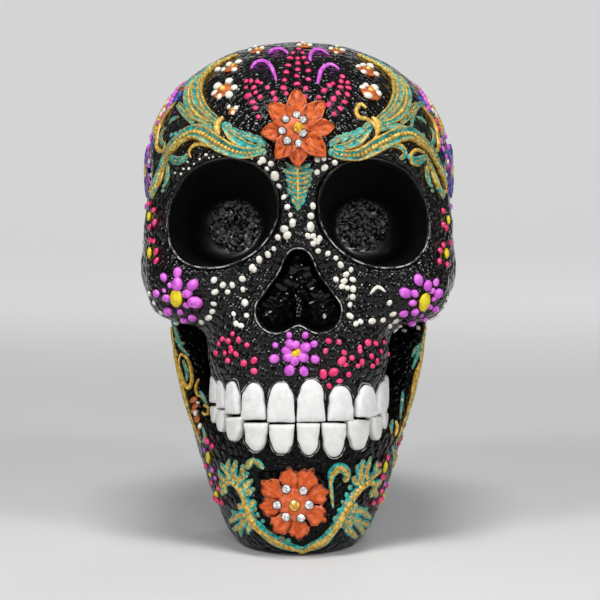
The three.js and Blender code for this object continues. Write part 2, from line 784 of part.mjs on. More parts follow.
// Scrolls. Points are on the right side of the head. Brow points have their height above the eyes.
const besideFlower = (angle, y) => {
  const reach = foreheadFlowerRadius + scrollWidth;
  return [reach * Math.cos(angle), y, foreheadFlowerRise + reach * Math.sin(angle)];
};
const browStrands = [
  {
    points: [
      besideFlower(-0.56, -62), [19.5, -61, 20.5], [25.5, -58.5, 22.5], [32.5, -53.5, 26.5], [38, -49, 27.5],
      [43, -43, 23.5], [48, -33, 19], [51.5, -28, 12.5], [52.5, -31, 8],
    ],
    share: 1.1,
    steps: 14,
  },
  {
    points: [[28, -57, 25], [31.5, -48, 34.5], [34, -40, 39], [35, -29, 44.5], [32, -17, 50.5], [25, -9, 55]],
    steps: 10,
  },
  { points: [[31, -54, 26.5], [36.5, -45, 32.5], [40, -33, 38], [38, -16, 46.5]], steps: 8 },
  { points: [[35, -51, 27], [41, -39, 33], [45, -21, 38]], share: 0.9, steps: 6 },
  { points: [[37, -49, 27], [44, -37, 26.5], [49, -23, 25], [51, -12, 28]], share: 0.8, steps: 7 },
  { points: [[26, -58.5, 23], [33, -54.5, 23.5], [38.5, -52, 19.5]], share: 0.7, steps: 6 },
  { points: [[30, -55.5, 26.5], [24, -58, 27], besideFlower(-0.28, -61)], share: 0.8, steps: 5 },
].map(({ points, ...rest }) => ({ points: raised(points, eyeHeight), ...rest }));

const chinStrands = [
  {
    points: [
      [5, -60.5, 3.5], [12.5, -60.5, 8], [16.5, -60, 12.5], [18, -59.5, 17], [19.5, -58, 21],
      [22, -55.5, 25], [25.5, -51.5, 25.5], [26.5, -49.5, 22],
    ],
    steps: 12,
  },
  { points: [[16, -60, 12], [20, -55, 11.5], [25, -46, 13]], share: 0.9, steps: 7 },
  { points: [[21, -56.5, 24], [23.5, -54.5, 28], [27.5, -50, 31]], share: 0.9, steps: 7 },
  { points: [[20, -57.5, 22], [19, -58.5, 27], [20.5, -57, 31.5]], share: 0.8, steps: 7 },
];
const jawStrands = [
  { points: [[46, -2, 77], [45.5, -10, 68], [43, -20, 58], [39, -30, 47], [35, -38, 37]], steps: 10 },
  { points: [[44.5, -13, 64], [44, -3, 62], [43, 4, 56], [42, 2, 48]], share: 0.9, steps: 9 },
  { points: [[40, -27, 50], [39.5, -16, 46], [38.5, -7, 40], [36.5, -9, 32]], share: 0.9, steps: 9 },
];
const fromSide = (points) => points.map(([inset, y, z]) => [braincaseHalfWidth - inset, y, z]);
const sideStrands = [
  { points: [[5, -14, 26], [2, 0, 31], [4, 16, 35], [10, 32, 35], [16, 44, 28]], steps: 11 },
  { points: [[3, -4, 30], [3, 2, 38], [8, 4, 44], [12, -2, 48]], share: 0.9, steps: 9 },
  { points: [[7, 26, 35.5], [12, 34, 42], [20, 36, 47]], share: 0.9, steps: 8 },
  { points: [[14, 40, 31], [10, 42, 20], [6, 34, 10], [3, 26, 6]], share: 0.9, steps: 9 },
].map(({ points, ...rest }) => ({ points: raised(fromSide(points), eyeHeight), ...rest }));
const backStrands = [
  {
    points: [[8, 73, -14], [20, 70, -16], [32, 64, -10], [38, 59, 2], [34, 62, 13], [26, 67, 12]],
    steps: 12,
  },
  { points: [[24, 68.5, -14], [34, 60, -22], [42, 50, -22]], share: 0.9, steps: 8 },
  { points: [[37, 60, 6], [44, 50, 14], [42, 48, 24]], share: 0.9, steps: 8 },
].map(({ points, ...rest }) => ({ points: raised(points, eyeHeight), ...rest }));

// Small flowers and curls
const crownDaisies = [
  [-26.5, -43, 42.5], [-23.5, -29, 51], [-21.5, -54, 36], [-15, -13.5, 57],
  [2, -11, 58.5], [14, -15, 57], [24.5, -30, 50.5], [25, -44.5, 42.5],
];
const commaPaths = [
  [[-17, -37, 50], [-15.5, -32.5, 52], [-13, -31, 52.5], [-10.5, -35.5, 51.5], [-7.5, -48, 45.5]],
  [[-11.5, -24.5, 55.5], [-9, -19.5, 56.5], [-6.5, -18.5, 57], [-4.5, -22.5, 56.5], [-3.5, -27.5, 55]],
  [[4.5, -35, 52.5], [4, -29, 54.5], [5, -22.5, 56.5], [7.5, -19.5, 57], [11.5, -26.5, 54.5]],
  [[6.5, -49.5, 44.5], [7.5, -45, 47], [8.5, -40.5, 49.5], [11, -36, 51.5], [15, -38.5, 49.5]],
];
const smallFlower = (point, petals, radius, thickness, rings = 1) => {
  const outline = roundPetals(petals, radius);
  return bedded(solid(flowerPad(seat(point), outline, domeHeight(thickness), petals, rings)));
};
const daisy = (point) => smallFlower(point, 5, daisyRadius, crownDaisyThickness);

// Finishes
const finish = (color, roughness, metalness = 0) => {
  return new THREE.MeshStandardMaterial({ color, roughness, metalness });
};
const blackGloss = finish(0x0b0b0c, 0.22);
const toothWhite = finish(0xf3f3ee, 0.4);
const orangePaint = finish(0xe0592a, 0.5);
const tealGold = finish(0x4fae9a, 0.4, 0.2);
const violetPaint = finish(0xd65ae0, 0.35);
const pinkPaint = finish(0xf2417a, 0.35);
const bluePaint = finish(0x2f7fd0, 0.4);
const creamPaint = finish(0xf2efe2, 0.45);
const clearStone = finish(0xf0f4f6, 0.08);
const amberStone = finish(0xe0a224, 0.08);

// Assembly
const skull = new THREE.Group();
function add(name, geometry, material, parent = skull) {
  const mesh = new THREE.Mesh(geometry, material);
  mesh.name = name;
  parent.add(mesh);
  return mesh;
}

add('cranium', geometryOf(craniumCast), blackGloss);
add('mandible', geometryOf(mandibleCast), blackGloss);
add('upper_tooth_row', geometryOf(upperTeeth), toothWhite);
add('lower_tooth_row', geometryOf(lowerTeeth), toothWhite);

function addGemFlower(name, flower, where) {
  add(`${name}_flower`, bedded(flower.body), orangePaint);
  flower.stones.forEach(({ diameter, foot }, i) => {
    const label = i === 0 ? 'centre_gem' : `gem_${i}`;
    const stone = add(`${name}_${label}`, gem(diameter), i === 0 ? amberStone : clearStone);
    stone.position.copy(foot);
    stone.quaternion.setFromUnitVectors(new THREE.Vector3(0, 0, 1), where.out);
  });
}
addGemFlower('forehead', foreheadFlower, foreheadSeat);
addGemFlower('chin', chinFlower, chinSeat);
add('forehead_leaf', bedded(solid(leaf)), tealGold);

for (const [label, side] of [['left', -1], ['right', 1]]) {
  add(`brow_scroll_${label}`, bedded(scroll(browStrands, side)), tealGold);
  add(`chin_scroll_${label}`, bedded(scroll(chinStrands, side)), tealGold);
  add(`jaw_scroll_${label}`, bedded(scroll(jawStrands, side)), tealGold);
  add(`side_scroll_${label}`, bedded(scroll(sideStrands, side)), tealGold);
  add(`back_scroll_${label}`, bedded(scroll(backStrands, side)), tealGold);
  const cheekPoint = [side * (faceHalfWidth - 13), 4 - faceFront, cheekHeight - 3];
  const cheekFlower = smallFlower(cheekPoint, 7, cheekFlowerRadius, paintFlowerThickness, 2);
  add(`cheek_flower_${label}`, cheekFlower, violetPaint);
  const templeFlower = (height) => {
    const point = [side * (faceHalfWidth - 3), 20 - faceFront, height];
    return smallFlower(point, 5, templeFlowerRadius, paintFlowerThickness);
  };
  add(`temple_flower_upper_${label}`, templeFlower(eyeHeight - 3), pinkPaint);
  add(`temple_flower_lower_${label}`, templeFlower(eyeHeight - 15), pinkPaint);
  const jawPoint = [side * 1.5 * soleHalfWidth, 20 - chinFront, lowerGumHeight - 2];
  add(`jaw_daisy_${label}`, daisy(jawPoint), creamPaint);
  const sideSeat = seat([side * braincaseHalfWidth, braincaseSetback + 2, eyeHeight + 12]);
  const sideFlower = bigFlower(sideSeat, pointedPetals(bigPetals, sideFlowerRadius));
  add(`side_flower_${label}`, bedded(sideFlower), bluePaint);
}
const lipFlower = smallFlower([-1, -upperJawFront, gumHeight + 12], 6, lipFlowerRadius, paintFlowerThickness);
add('lip_flower', lipFlower, violetPaint);
const backSeat = seat([0, braincaseSetback + braincaseHalfDepth, eyeHeight + 4]);
const backFlower = bigFlower(backSeat, notchedPetals(bigPetals, backFlowerRadius));
add('back_flower', bedded(backFlower), orangePaint);
crownDaisies.forEach(([x, y, up], i) => {
  add(`crown_daisy_${i + 1}`, daisy([x, y, eyeHeight + up]), creamPaint);
});
commaPaths.forEach((points, i) => {
  const curl = strand(raised(points, eyeHeight), commaWidth, commaThickness, { steps: 10 });
  add(`crown_comma_${i + 1}`, bedded(solid(curl)), violetPaint);
});

export default skull;
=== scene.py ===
# %% [markdown]
# # A painted sugar skull
# The real figurine is two resin castings in black gloss paint, with moulded flowers and leaf scrolls,
# drops of thick paint and small glued stones. The CAD solids already have the skull's form, its teeth and
# a plain body for each ornament. This lesson dresses them: first the camera, then the skin, the teeth, the
# ornaments, and last the floor and the lights.

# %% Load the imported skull
import itertools
import math

import bmesh
import bpy
import numpy as np
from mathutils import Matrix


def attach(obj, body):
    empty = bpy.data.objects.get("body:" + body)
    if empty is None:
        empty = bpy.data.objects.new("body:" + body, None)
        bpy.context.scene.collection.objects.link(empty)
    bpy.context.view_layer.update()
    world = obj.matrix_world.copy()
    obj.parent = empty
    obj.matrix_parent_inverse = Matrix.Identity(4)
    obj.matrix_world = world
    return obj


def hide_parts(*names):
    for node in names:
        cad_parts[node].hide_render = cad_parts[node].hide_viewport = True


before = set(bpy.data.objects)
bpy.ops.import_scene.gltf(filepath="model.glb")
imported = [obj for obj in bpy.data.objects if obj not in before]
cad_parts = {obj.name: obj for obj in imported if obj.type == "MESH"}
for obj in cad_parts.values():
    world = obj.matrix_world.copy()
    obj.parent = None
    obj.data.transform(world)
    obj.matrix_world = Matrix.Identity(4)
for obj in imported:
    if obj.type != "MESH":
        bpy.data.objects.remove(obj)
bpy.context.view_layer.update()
MM = 0.001
scene = bpy.context.scene

# %% [markdown]
# ## The camera
# The camera comes first, because painted drops are placed where a line of sight through the picture meets
# the skull. It stands in front of the face and a little above it. A long lens far away keeps the
# perspective as flat as in a product picture.

# %% Camera at the photograph's angle
VIEW_DISTANCE = 900.0
VIEW_RISE = math.radians(5.0)
VIEW_TARGET = np.array([0.56, 0.0, 85.0])
MM_PER_PIXEL = 0.372
FRAME_PIXELS = 600
SENSOR_WIDTH = 36.0

look = np.array([0.0, math.cos(VIEW_RISE), -math.sin(VIEW_RISE)])
rightward = np.array([1.0, 0.0, 0.0])
upward = np.cross(rightward, look)
eye_point = VIEW_TARGET - look * VIEW_DISTANCE

camera_data = bpy.data.cameras.new("front_camera")
camera_data.sensor_width = SENSOR_WIDTH
camera_data.lens = SENSOR_WIDTH * VIEW_DISTANCE / (MM_PER_PIXEL * FRAME_PIXELS)
camera = bpy.data.objects.new("front_camera", camera_data)
camera.location = eye_point * MM
camera.rotation_euler = (math.pi / 2 - VIEW_RISE, 0.0, 0.0)
scene.collection.objects.link(camera)
scene.camera = camera
print("lens in mm:", round(camera_data.lens, 1))

# %% [markdown]
# ## The skull's form as a rule
# A sculptor builds a skull from lumps: braincase, brow, cheekbones and jaw, smoothed into each other. The
# same can be written as a rule that gives, for any point, its distance to the surface, negative inside. A
# soft minimum joins two lumps with a fillet, and a soft maximum with a reversed form cuts a hollow with a
# rounded rim. These are the forms of the CAD castings in millimetres, with softer rims.

# %% Lumps, bars and soft joins
def soft_min(a, b, blend):
    overlap = np.maximum(blend - np.abs(a - b), 0.0) / blend
    return np.minimum(a, b) - overlap * overlap * blend / 4


def soft_max(a, b, blend):
    return -soft_min(-a, -b, blend)


def lobe(x, y, z, centre, half, front=2.0, deep=2.0):
    u = np.abs(x - centre[0]) / half[0]
    v = np.abs(y - centre[1]) / half[1]
    w = np.abs(z - centre[2]) / half[2]
    outline = (u ** front + w ** front + 1e-12) ** (1 / front)
    level = (outline ** deep + v ** deep + 1e-12) ** (1 / deep)
    share = (outline / level) ** (deep - 1)
    slope_x = share * (u / outline) ** (front - 1) / half[0]
    slope_y = (v / level) ** (deep - 1) / half[1]
    slope_z = share * (w / outline) ** (front - 1) / half[2]
    return (level - 1) / np.sqrt(slope_x ** 2 + slope_y ** 2 + slope_z ** 2 + 1e-12)


def bar(x, y, z, start, end, start_radius, end_radius):
    start = np.array(start, float)
    step = np.array(end, float) - start
    t = ((x - start[0]) * step[0] + (y - start[1]) * step[1] + (z - start[2]) * step[2]) / step.dot(step)
    t = np.clip(t, 0.0, 1.0)
    gap = np.sqrt((x - start[0] - t * step[0]) ** 2 + (y - start[1] - t * step[1]) ** 2
                  + (z - start[2] - t * step[2]) ** 2)
    return gap - start_radius - (end_radius - start_radius) * t


def ease(t):
    t = np.clip(t, 0.0, 1.0)
    return t * t * (3 - 2 * t)


def unit(directions):
    """Directions cut to a length of one."""
    return directions / (np.linalg.norm(directions, axis=-1, keepdims=True) + 1e-12)


print("two planes that meet, softly joined:", soft_min(np.zeros(1), np.zeros(1), 2.0).tolist())

# %% Eye cups
SOCKET_FLOOR = -30.0
EYE_LEAN = 0.16
EYE_HALF_WIDTH = 20.6
EYE_HALF_HEIGHT = 18.8


def below(rise):
    """How far a height lies under the middle of an eye, with a soft start."""
    return 0.5 * (np.sqrt(rise ** 2 + 16) - rise)


def eye_middle(y):
    """Place and height of a socket's middle, which moves inward and down on its way in."""
    depth = np.clip(y + 60, 0.0, 40.0)
    return 27.6 - 0.13 * depth, 120.6 - 0.28 * depth


def eye_size(y):
    return 1.0 - 0.014 * np.clip(y + 58, 0.0, 34.0)


def eye_cup(x, y, z):
    size = eye_size(y)
    middle, level = eye_middle(y)
    rise = z - level
    across = np.abs(np.abs(x) - middle - EYE_LEAN * below(rise)) / (EYE_HALF_WIDTH * size)
    height = np.abs(rise) / (EYE_HALF_HEIGHT * size)
    power = 2.5 - 0.5 * ease((3 - rise) / 6)
    wall = ((across ** power + height ** power + 1e-12) ** (1 / power) - 1) * 19 * size
    return soft_max(wall, y - SOCKET_FLOOR, 6)


eye_ends = np.round([eye_middle(-60.0), eye_middle(SOCKET_FLOOR)], 1)
print("middle of an eye at the brow and at the floor:", eye_ends.tolist())

# %% Nose pit and gums
def nose_pit(x, y, z):
    flat = 0 * y
    lobes = soft_min(bar(x, flat, z, (0, 0, 104), (7.6, 0, 86.5), 2.8, 7.0),
                     bar(-x, flat, z, (0, 0, 104), (7.6, 0, 86.5), 2.8, 7.0), 6)
    return soft_max(lobes, y + 48, 6)


ARCH_HALF_WIDTH = 30.5
ARCH_REAR = -36.0
ARCH_DEPTH = 31.0
ARCH_SQUARENESS = 2.3
BITE_HEIGHT = 46.2


def arch_wall(x, y):
    """How far a point lies outside the curved line of the teeth."""
    u = np.abs(x) / ARCH_HALF_WIDTH
    v = np.maximum(ARCH_REAR - y, 0.0) / ARCH_DEPTH
    level = (u ** ARCH_SQUARENESS + v ** ARCH_SQUARENESS + 1e-12) ** (1 / ARCH_SQUARENESS)
    return (level - 1) * 29


def bite_line(y):
    return BITE_HEIGHT + 0.155 * np.maximum(y + 66.5, 0.0)


def gum(x, y, z, low, high):
    band = soft_max(arch_wall(x, y) + 2.4, np.maximum(low - z, z - high), 2)
    return soft_max(band, y + 31, 2)


print("height of the bite at the front and the side:", bite_line(np.array([-66.5, ARCH_REAR])).tolist())

# %% Cranium and jaw
def bone_form(x, y, z):
    side = np.abs(x)
    braincase = lobe(side, y, z, (0, 8, 122), (58, 67, 58), 2.2, 2.2)
    forehead = lobe(side, y, z, (0, -8, 142), (46, 53, 32), 2.2, 2.4)
    temples = lobe(side, y, z, (0, -15, 112), (56, 46, 33), 2.5, 3.2)
    brow = bar(side, y, z, (9, -52, 140), (35, -44, 140), 8.5, 6.5)
    cheekbone = lobe(side, y, z, (36, -39, 93), (17.5, 20, 13), 2.4, 2.4)
    cheek_arch = bar(side, y, z, (46, -26, 97), (51, 14, 102), 8, 5)
    upper_jaw = lobe(side, y, z, (0, -42, 72), (32, 24, 29), 2.4, 2.6)
    nose_bridge = bar(side, y, z, (0, -56, 132), (0, -61, 108), 8, 6)
    d = braincase
    for lump, blend in ((forehead, 10), (temples, 8), (brow, 12), (cheekbone, 9), (cheek_arch, 9),
                        (upper_jaw, 8), (nose_bridge, 7)):
        d = soft_min(d, lump, blend)
    temple_hollow = lobe(side, y, z, (68, -8, 121), (14, 24, 18))
    cheek_hollow = lobe(side, y, z, (47, -26, 62), (13, 27, 20), 2.3, 2.3)
    d = soft_max(d, -temple_hollow, 10)
    d = soft_max(d, -cheek_hollow, 6)
    return soft_max(d, 50 - z, 2)


def cranium_form(x, y, z):
    side = np.abs(x)
    d = bone_form(x, y, z)
    d = soft_min(d, gum(side, y, z, bite_line(y) + 0.4, 61), 3)
    d = soft_max(d, -eye_cup(x, y, z), 2.6)
    return soft_max(d, -nose_pit(x, y, z), 1.8)


def jaw_outline(side, y, z):
    rise = np.clip(z, 0.0, 90.0)
    half_width = 22 + 9.5 * (1 - np.exp(-rise / 9)) + 0.25 * np.maximum(rise - 12, 0.0)
    front = -62.5 + 7 * np.exp(-rise / 3.5) + 0.045 * np.maximum(rise - 24, 0.0)
    half_depth = (28 - front) / 2
    u = side / half_width
    v = np.abs(y - front - half_depth) / half_depth
    level = (u ** 2.4 + v ** 2.4 + 1e-12) ** (1 / 2.4)
    slope = np.sqrt(((u / level) ** 1.4 / half_width) ** 2 + ((v / level) ** 1.4 / half_depth) ** 2)
    return (level - 1) / slope


def jaw_form(x, y, z):
    side = np.abs(x)
    outline = jaw_outline(side, y, z)
    climb = y + 36
    edge = np.minimum(44 + 1.25 * (climb + np.sqrt(climb ** 2 + 60)) / 2, 88)
    d = soft_max(outline, (z - edge) * 0.66, 5)
    rear = 4 + 14 * ease((z - 2) / 30) - 0.06 * np.maximum(z - 40, 0.0)
    d = soft_max(d, y - rear, 8)
    mouth = soft_max(soft_max(outline + 10, 48 - z, 5), y + 20, 6)
    d = soft_max(d, -mouth, 3)
    throat = soft_max(bar(side, y, 0 * z, (0, 44, 0), (0, 60, 0), 28, 28), 14 - z, 8)
    d = soft_max(d, -throat, 5)
    chin = lobe(side, y, z, (0, -53, 17), (20, 9.5, 13))
    d = soft_min(d, chin, 6)
    d = soft_min(d, gum(side, y, z, 31, bite_line(y) - 0.4), 4)
    return soft_max(d, -z, 1.0)


def skin_form(x, y, z):
    return np.minimum(cranium_form(x, y, z), jaw_form(x, y, z))


def outward(form, points, reach=0.25):
    """The direction straight out of the surface at each point."""
    slope = np.zeros_like(points)
    for axis in range(3):
        step = np.zeros(3)
        step[axis] = reach
        slope[:, axis] = form(*(points + step).T) - form(*(points - step).T)
    return unit(slope)


def settle(points, form=skin_form, turns=6):
    """Slides points straight onto the surface."""
    points = np.array(points, float)
    for _ in range(turns):
        points = points - outward(form, points) * np.clip(form(*points.T), -4, 4)[:, None]
    return points


print("forehead point:", settle([[0.0, -60.0, 150.0]]).round(1).tolist())

# %% [markdown]
# ## The skin
# To show the form, a mesh has to be wrapped round the rule. Surface nets do this well for soft shapes:
# every grid cell that the surface passes through gets one point, and the points of neighbouring cells are
# joined into quads. Metaballs or a remesh of joined spheres would do too, but leave no control over rims.
# The points then slide onto the surface, and small lumps are added, because a brushed casting is never
# quite smooth. The eye cups stay smooth, so each point also stores how pebbled it is.

# %% Wrapping a mesh round the form
def wrap_form(form, low, high, step):
    counts = [int(math.ceil((b - a) / step)) + 1 for a, b in zip(low, high)]
    axes = [a + step * np.arange(n) for a, n in zip(low, counts)]
    grid = np.stack(np.meshgrid(*axes, indexing="ij"), -1)
    stride = 4
    coarse = form(*np.moveaxis(grid[::stride, ::stride, ::stride], -1, 0))

    def spread(values):
        wide = values.repeat(stride, 0).repeat(stride, 1).repeat(stride, 2)
        return wide[:counts[0], :counts[1], :counts[2]].copy()

    value = spread(coarse)
    near = spread(np.abs(coarse) < 3 * stride * step)
    value[near] = form(*grid[near].T)
    inside = value < 0
    shifts = list(itertools.product((0, 1), repeat=3))
    corners = sum(inside[i:counts[0] - 1 + i, j:counts[1] - 1 + j, k:counts[2] - 1 + k].astype(int)
                  for i, j, k in shifts)
    crossed = (corners > 0) & (corners < 8)
    cells = np.argwhere(crossed)
    index = np.full(crossed.shape, -1)
    index[crossed] = np.arange(len(cells))
    total = np.zeros((len(cells), 3))
    hits = np.zeros(len(cells))
    for axis in range(3):
        along = np.eye(3, dtype=int)[axis]
        for shift in (np.array(s) for s in shifts if s[axis] == 0):
            a = value[tuple((cells + shift).T)]
            b = value[tuple((cells + shift + along).T)]
            flips = (a < 0) != (b < 0)
            t = a / np.where(flips, a - b, 1.0)
            total[flips] += (cells + shift + along * t[:, None])[flips]
            hits += flips
    points = np.array(low) + total / hits[:, None] * step
    faces = []
    for axis in range(3):
        side = [np.s_[1:-1]] * 3
        ahead = list(side)
        ahead[axis] = np.s_[2:]
        flips = inside[tuple(side)] != inside[tuple(ahead)]
        nodes = np.argwhere(flips) + 1
        out = inside[tuple(nodes.T)]
        b, c = np.eye(3, dtype=int)[(axis + 1) % 3], np.eye(3, dtype=int)[(axis + 2) % 3]
        turns = ((1, 1), (0, 1), (0, 0), (1, 0))
        quad = np.stack([index[tuple((nodes - m * b - n * c).T)] for m, n in turns], 1)
        quad[~out] = quad[~out][:, ::-1]
        faces.append(quad)
    return points, np.concatenate(faces)


ball_points, _ = wrap_form(lambda x, y, z: np.sqrt(x * x + y * y + z * z) - 10, (-14,) * 3, (14,) * 3, 2.0)
print("a ball 20 mm across, wrapped in steps of 2 mm:", len(ball_points), "points")

# %% Lumps and pebbles
def lumps(points, size, seed):
    """Smooth random heights from -1 to 1, the same at each run."""
    cell = points / size
    base = np.floor(cell)
    fade = ease(cell - base)
    height = np.zeros(len(points))
    for shift in itertools.product((0, 1), repeat=3):
        key = (base + shift) @ np.array([127.1, 311.7, 74.7]) + seed * 17.3
        value = np.modf(np.abs(np.sin(key) * 43758.5453))[0] * 2 - 1
        height += value * np.prod(np.where(shift, fade, 1 - fade), axis=1)
    return height


def nearest_seed(points, size, seed):
    """Distance to the nearest of many scattered seeds, in grain sizes, for heights like packed pebbles."""
    cell = points / size
    base = np.floor(cell)
    nearest = np.full(len(points), 9.0)
    for shift in itertools.product((-1, 0, 1), repeat=3):
        corner = base + shift
        offset = [np.modf(np.abs(np.sin(corner @ np.array(key) + seed) * 43758.5453))[0]
                  for key in ((127.1, 311.7, 74.7), (269.5, 183.3, 246.1), (113.5, 271.9, 124.6))]
        gap = np.linalg.norm(corner + np.stack(offset, 1) - cell, axis=1)
        nearest = np.minimum(nearest, gap)
    return nearest


print("lumps at three places:", lumps(np.eye(3) * 5, 4.6, 2).round(2).tolist())

# %% Meshes that store values
def plain_mesh(name, points, faces, smooth=True):
    mesh = bpy.data.meshes.new(name)
    mesh.from_pydata((np.asarray(points) * MM).tolist(), [], [list(map(int, face)) for face in faces])
    mesh.polygons.foreach_set("use_smooth", np.full(len(mesh.polygons), smooth))
    return mesh


def add_values(mesh, name, values):
    values = np.asarray(values, np.float32)
    kind = "FLOAT" if values.ndim == 1 else "FLOAT_VECTOR"
    layer = mesh.attributes.new(name, kind, "POINT")
    layer.data.foreach_set("value" if values.ndim == 1 else "vector", values.ravel())


def closed_normals(mesh):
    """Turns every face of a closed mesh outward."""
    work = bmesh.new()
    work.from_mesh(mesh)
    bmesh.ops.recalc_face_normals(work, faces=work.faces)
    work.to_mesh(mesh)
    work.free()


def place(name, mesh):
    piece = bpy.data.objects.new(name, mesh)
    scene.collection.objects.link(piece)
    return piece


# %% The two castings
SKIN_STEP = 0.98
FLOOR_SPOT = (22.8, 114.4, 9.1)
PEBBLE_SIZE = 3.4
PEBBLE_HEIGHT = 0.26
LUMP_SIZE = 4.6
LUMP_HEIGHT = 0.2


def pebbled(points):
    """How rough the paint is, with none on the walls of the eye cups, and where their floors are duller and
    speckled grey as painted glints.
    """
    x, y, z = points.T
    cup = eye_cup(x, y, z)
    off = np.hypot(np.abs(x) - FLOOR_SPOT[0], z - FLOOR_SPOT[1]) / FLOOR_SPOT[2]
    floor = ease((y - SOCKET_FLOOR + 5) / 4) * (cup < 1.5) * ease((1.15 - off) / 0.35)
    rough = np.maximum(ease((cup - 0.2) / 2.2), 0.9 * floor)
    return np.where(nose_pit(x, y, z) < 0.6, 0.5, rough), floor


def casting(name, form, low, high, node):
    points, faces = wrap_form(form, low, high, SKIN_STEP)
    points = settle(points, form, 2)
    rough, dull_glint_floor = pebbled(points)
    swell = PEBBLE_HEIGHT * (0.6 - nearest_seed(points, PEBBLE_SIZE, 1) ** 2 * 1.6)
    swell += LUMP_HEIGHT * lumps(points, LUMP_SIZE, 2)
    points = points + outward(form, points) * (swell * rough)[:, None]
    points[:, 2] = np.maximum(points[:, 2], 0.0)
    mesh = plain_mesh(name, points, faces)
    add_values(mesh, "pebble", rough)
    add_values(mesh, "dull_glint_floor", dull_glint_floor)
    piece = place(name, mesh)
    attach(piece, "root")
    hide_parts(node)
    print(name, len(points), "points")
    return piece


skull_skin = casting("skull_skin", cranium_form, (-66, -78, 40), (66, 84, 190), "cranium")
jaw_skin = casting("jaw_skin", jaw_form, (-56, -76, -6), (56, 36, 96), "mandible")

# %% [markdown]
# ## Paints
# All paints are made from nodes. A brushed paint has two tones in soft patches, a little grain in its gloss
# and in its surface. The helper below builds that, and each finish adds what is its own: pebbles in the
# black with a grey speckle on the floors of the eye cups as painted glints, gold rims on the scrolls,
# painted shade in the creases of the petals and painted highlights on their ridges and edges. The jaw's
# black is duller than the skull's, so the black is a function of its shine.

# %% A small helper for node materials
class Finish:
    """A material whose nodes are made and joined in short lines."""

    def __init__(self, name, roughness, metallic=0.0, coat=0.0, specular=0.5):
        self.material = bpy.data.materials.new(name)
        self.material.use_nodes = True
        self.tree = self.material.node_tree
        self.shader = self.tree.nodes["Principled BSDF"]
        self.shader.inputs["Roughness"].default_value = roughness
        self.shader.inputs["Metallic"].default_value = metallic
        self.shader.inputs["Coat Weight"].default_value = coat
        self.shader.inputs["Coat Roughness"].default_value = 0.08
        self.shader.inputs["Specular IOR Level"].default_value = specular
        self.where = self.node("ShaderNodeTexCoord").outputs["Object"]

    def node(self, kind, **settings):
        made = self.tree.nodes.new(kind)
        for key, value in settings.items():
            setattr(made, key, value)
        return made

    def feed(self, socket, value):
        if isinstance(value, bpy.types.NodeSocket):
            self.tree.links.new(value, socket)
        else:
            socket.default_value = value

    def noise(self, size_mm, detail=3.0, roughness=0.55):
        made = self.node("ShaderNodeTexNoise")
        self.feed(made.inputs["Vector"], self.where)
        self.feed(made.inputs["Scale"], 1000.0 / size_mm)
        self.feed(made.inputs["Detail"], detail)
        self.feed(made.inputs["Roughness"], roughness)
        return made.outputs["Fac"]

    def cells(self, size_mm, feature="F1"):
        made = self.node("ShaderNodeTexVoronoi", feature=feature)
        self.feed(made.inputs["Vector"], self.where)
        self.feed(made.inputs["Scale"], 1000.0 / size_mm)
        return made.outputs["Distance"]

    def stored(self, name):
        return self.node("ShaderNodeAttribute", attribute_name=name).outputs["Fac"]

    def math(self, operation, a, b=0.0):
        made = self.node("ShaderNodeMath", operation=operation)
        self.feed(made.inputs[0], a)
        self.feed(made.inputs[1], b)
        return made.outputs[0]

    def times(self, a, b):
        return self.math("MULTIPLY", a, b)

    def ramp(self, value, low, high, to_low=0.0, to_high=1.0):
        made = self.node("ShaderNodeMapRange", interpolation_type="SMOOTHSTEP")
        self.feed(made.inputs["Value"], value)
        for key, number in (("From Min", low), ("From Max", high), ("To Min", to_low), ("To Max", to_high)):
            self.feed(made.inputs[key], number)
        return made.outputs["Result"]

    def mix(self, factor, a, b):
        made = self.node("ShaderNodeMix", data_type="RGBA")
        self.feed(made.inputs["Factor"], factor)
        for key, colour in (("A", a), ("B", b)):
            socket = [s for s in made.inputs if s.name == key and s.type == "RGBA"][0]
            self.feed(socket, (*colour, 1.0) if isinstance(colour, tuple) else colour)
        return [s for s in made.outputs if s.type == "RGBA"][0]

    def colour(self, value):
        self.feed(self.shader.inputs["Base Color"], value)

    def gloss(self, value):
        self.feed(self.shader.inputs["Roughness"], value)

    def bump(self, height, depth_mm, strength=1.0):
        made = self.node("ShaderNodeBump")
        self.feed(made.inputs["Height"], height)
        self.feed(made.inputs["Distance"], depth_mm * MM)
        self.feed(made.inputs["Strength"], strength)
        self.feed(self.shader.inputs["Normal"], made.outputs["Normal"])


def brushed(name, light, dark, roughness, patch_mm=2.5, depth_mm=0.12, metallic=0.0, coat=0.0):
    """Thick paint put on by hand: two tones in patches and a slightly uneven surface."""
    paint = Finish(name, roughness, metallic, coat)
    paint.colour(paint.mix(paint.ramp(paint.noise(patch_mm), 0.38, 0.66), dark, light))
    paint.gloss(paint.ramp(paint.noise(1.1), 0.3, 0.7, roughness - 0.08, roughness + 0.1))
    paint.bump(paint.noise(1.4), depth_mm)
    return paint.material


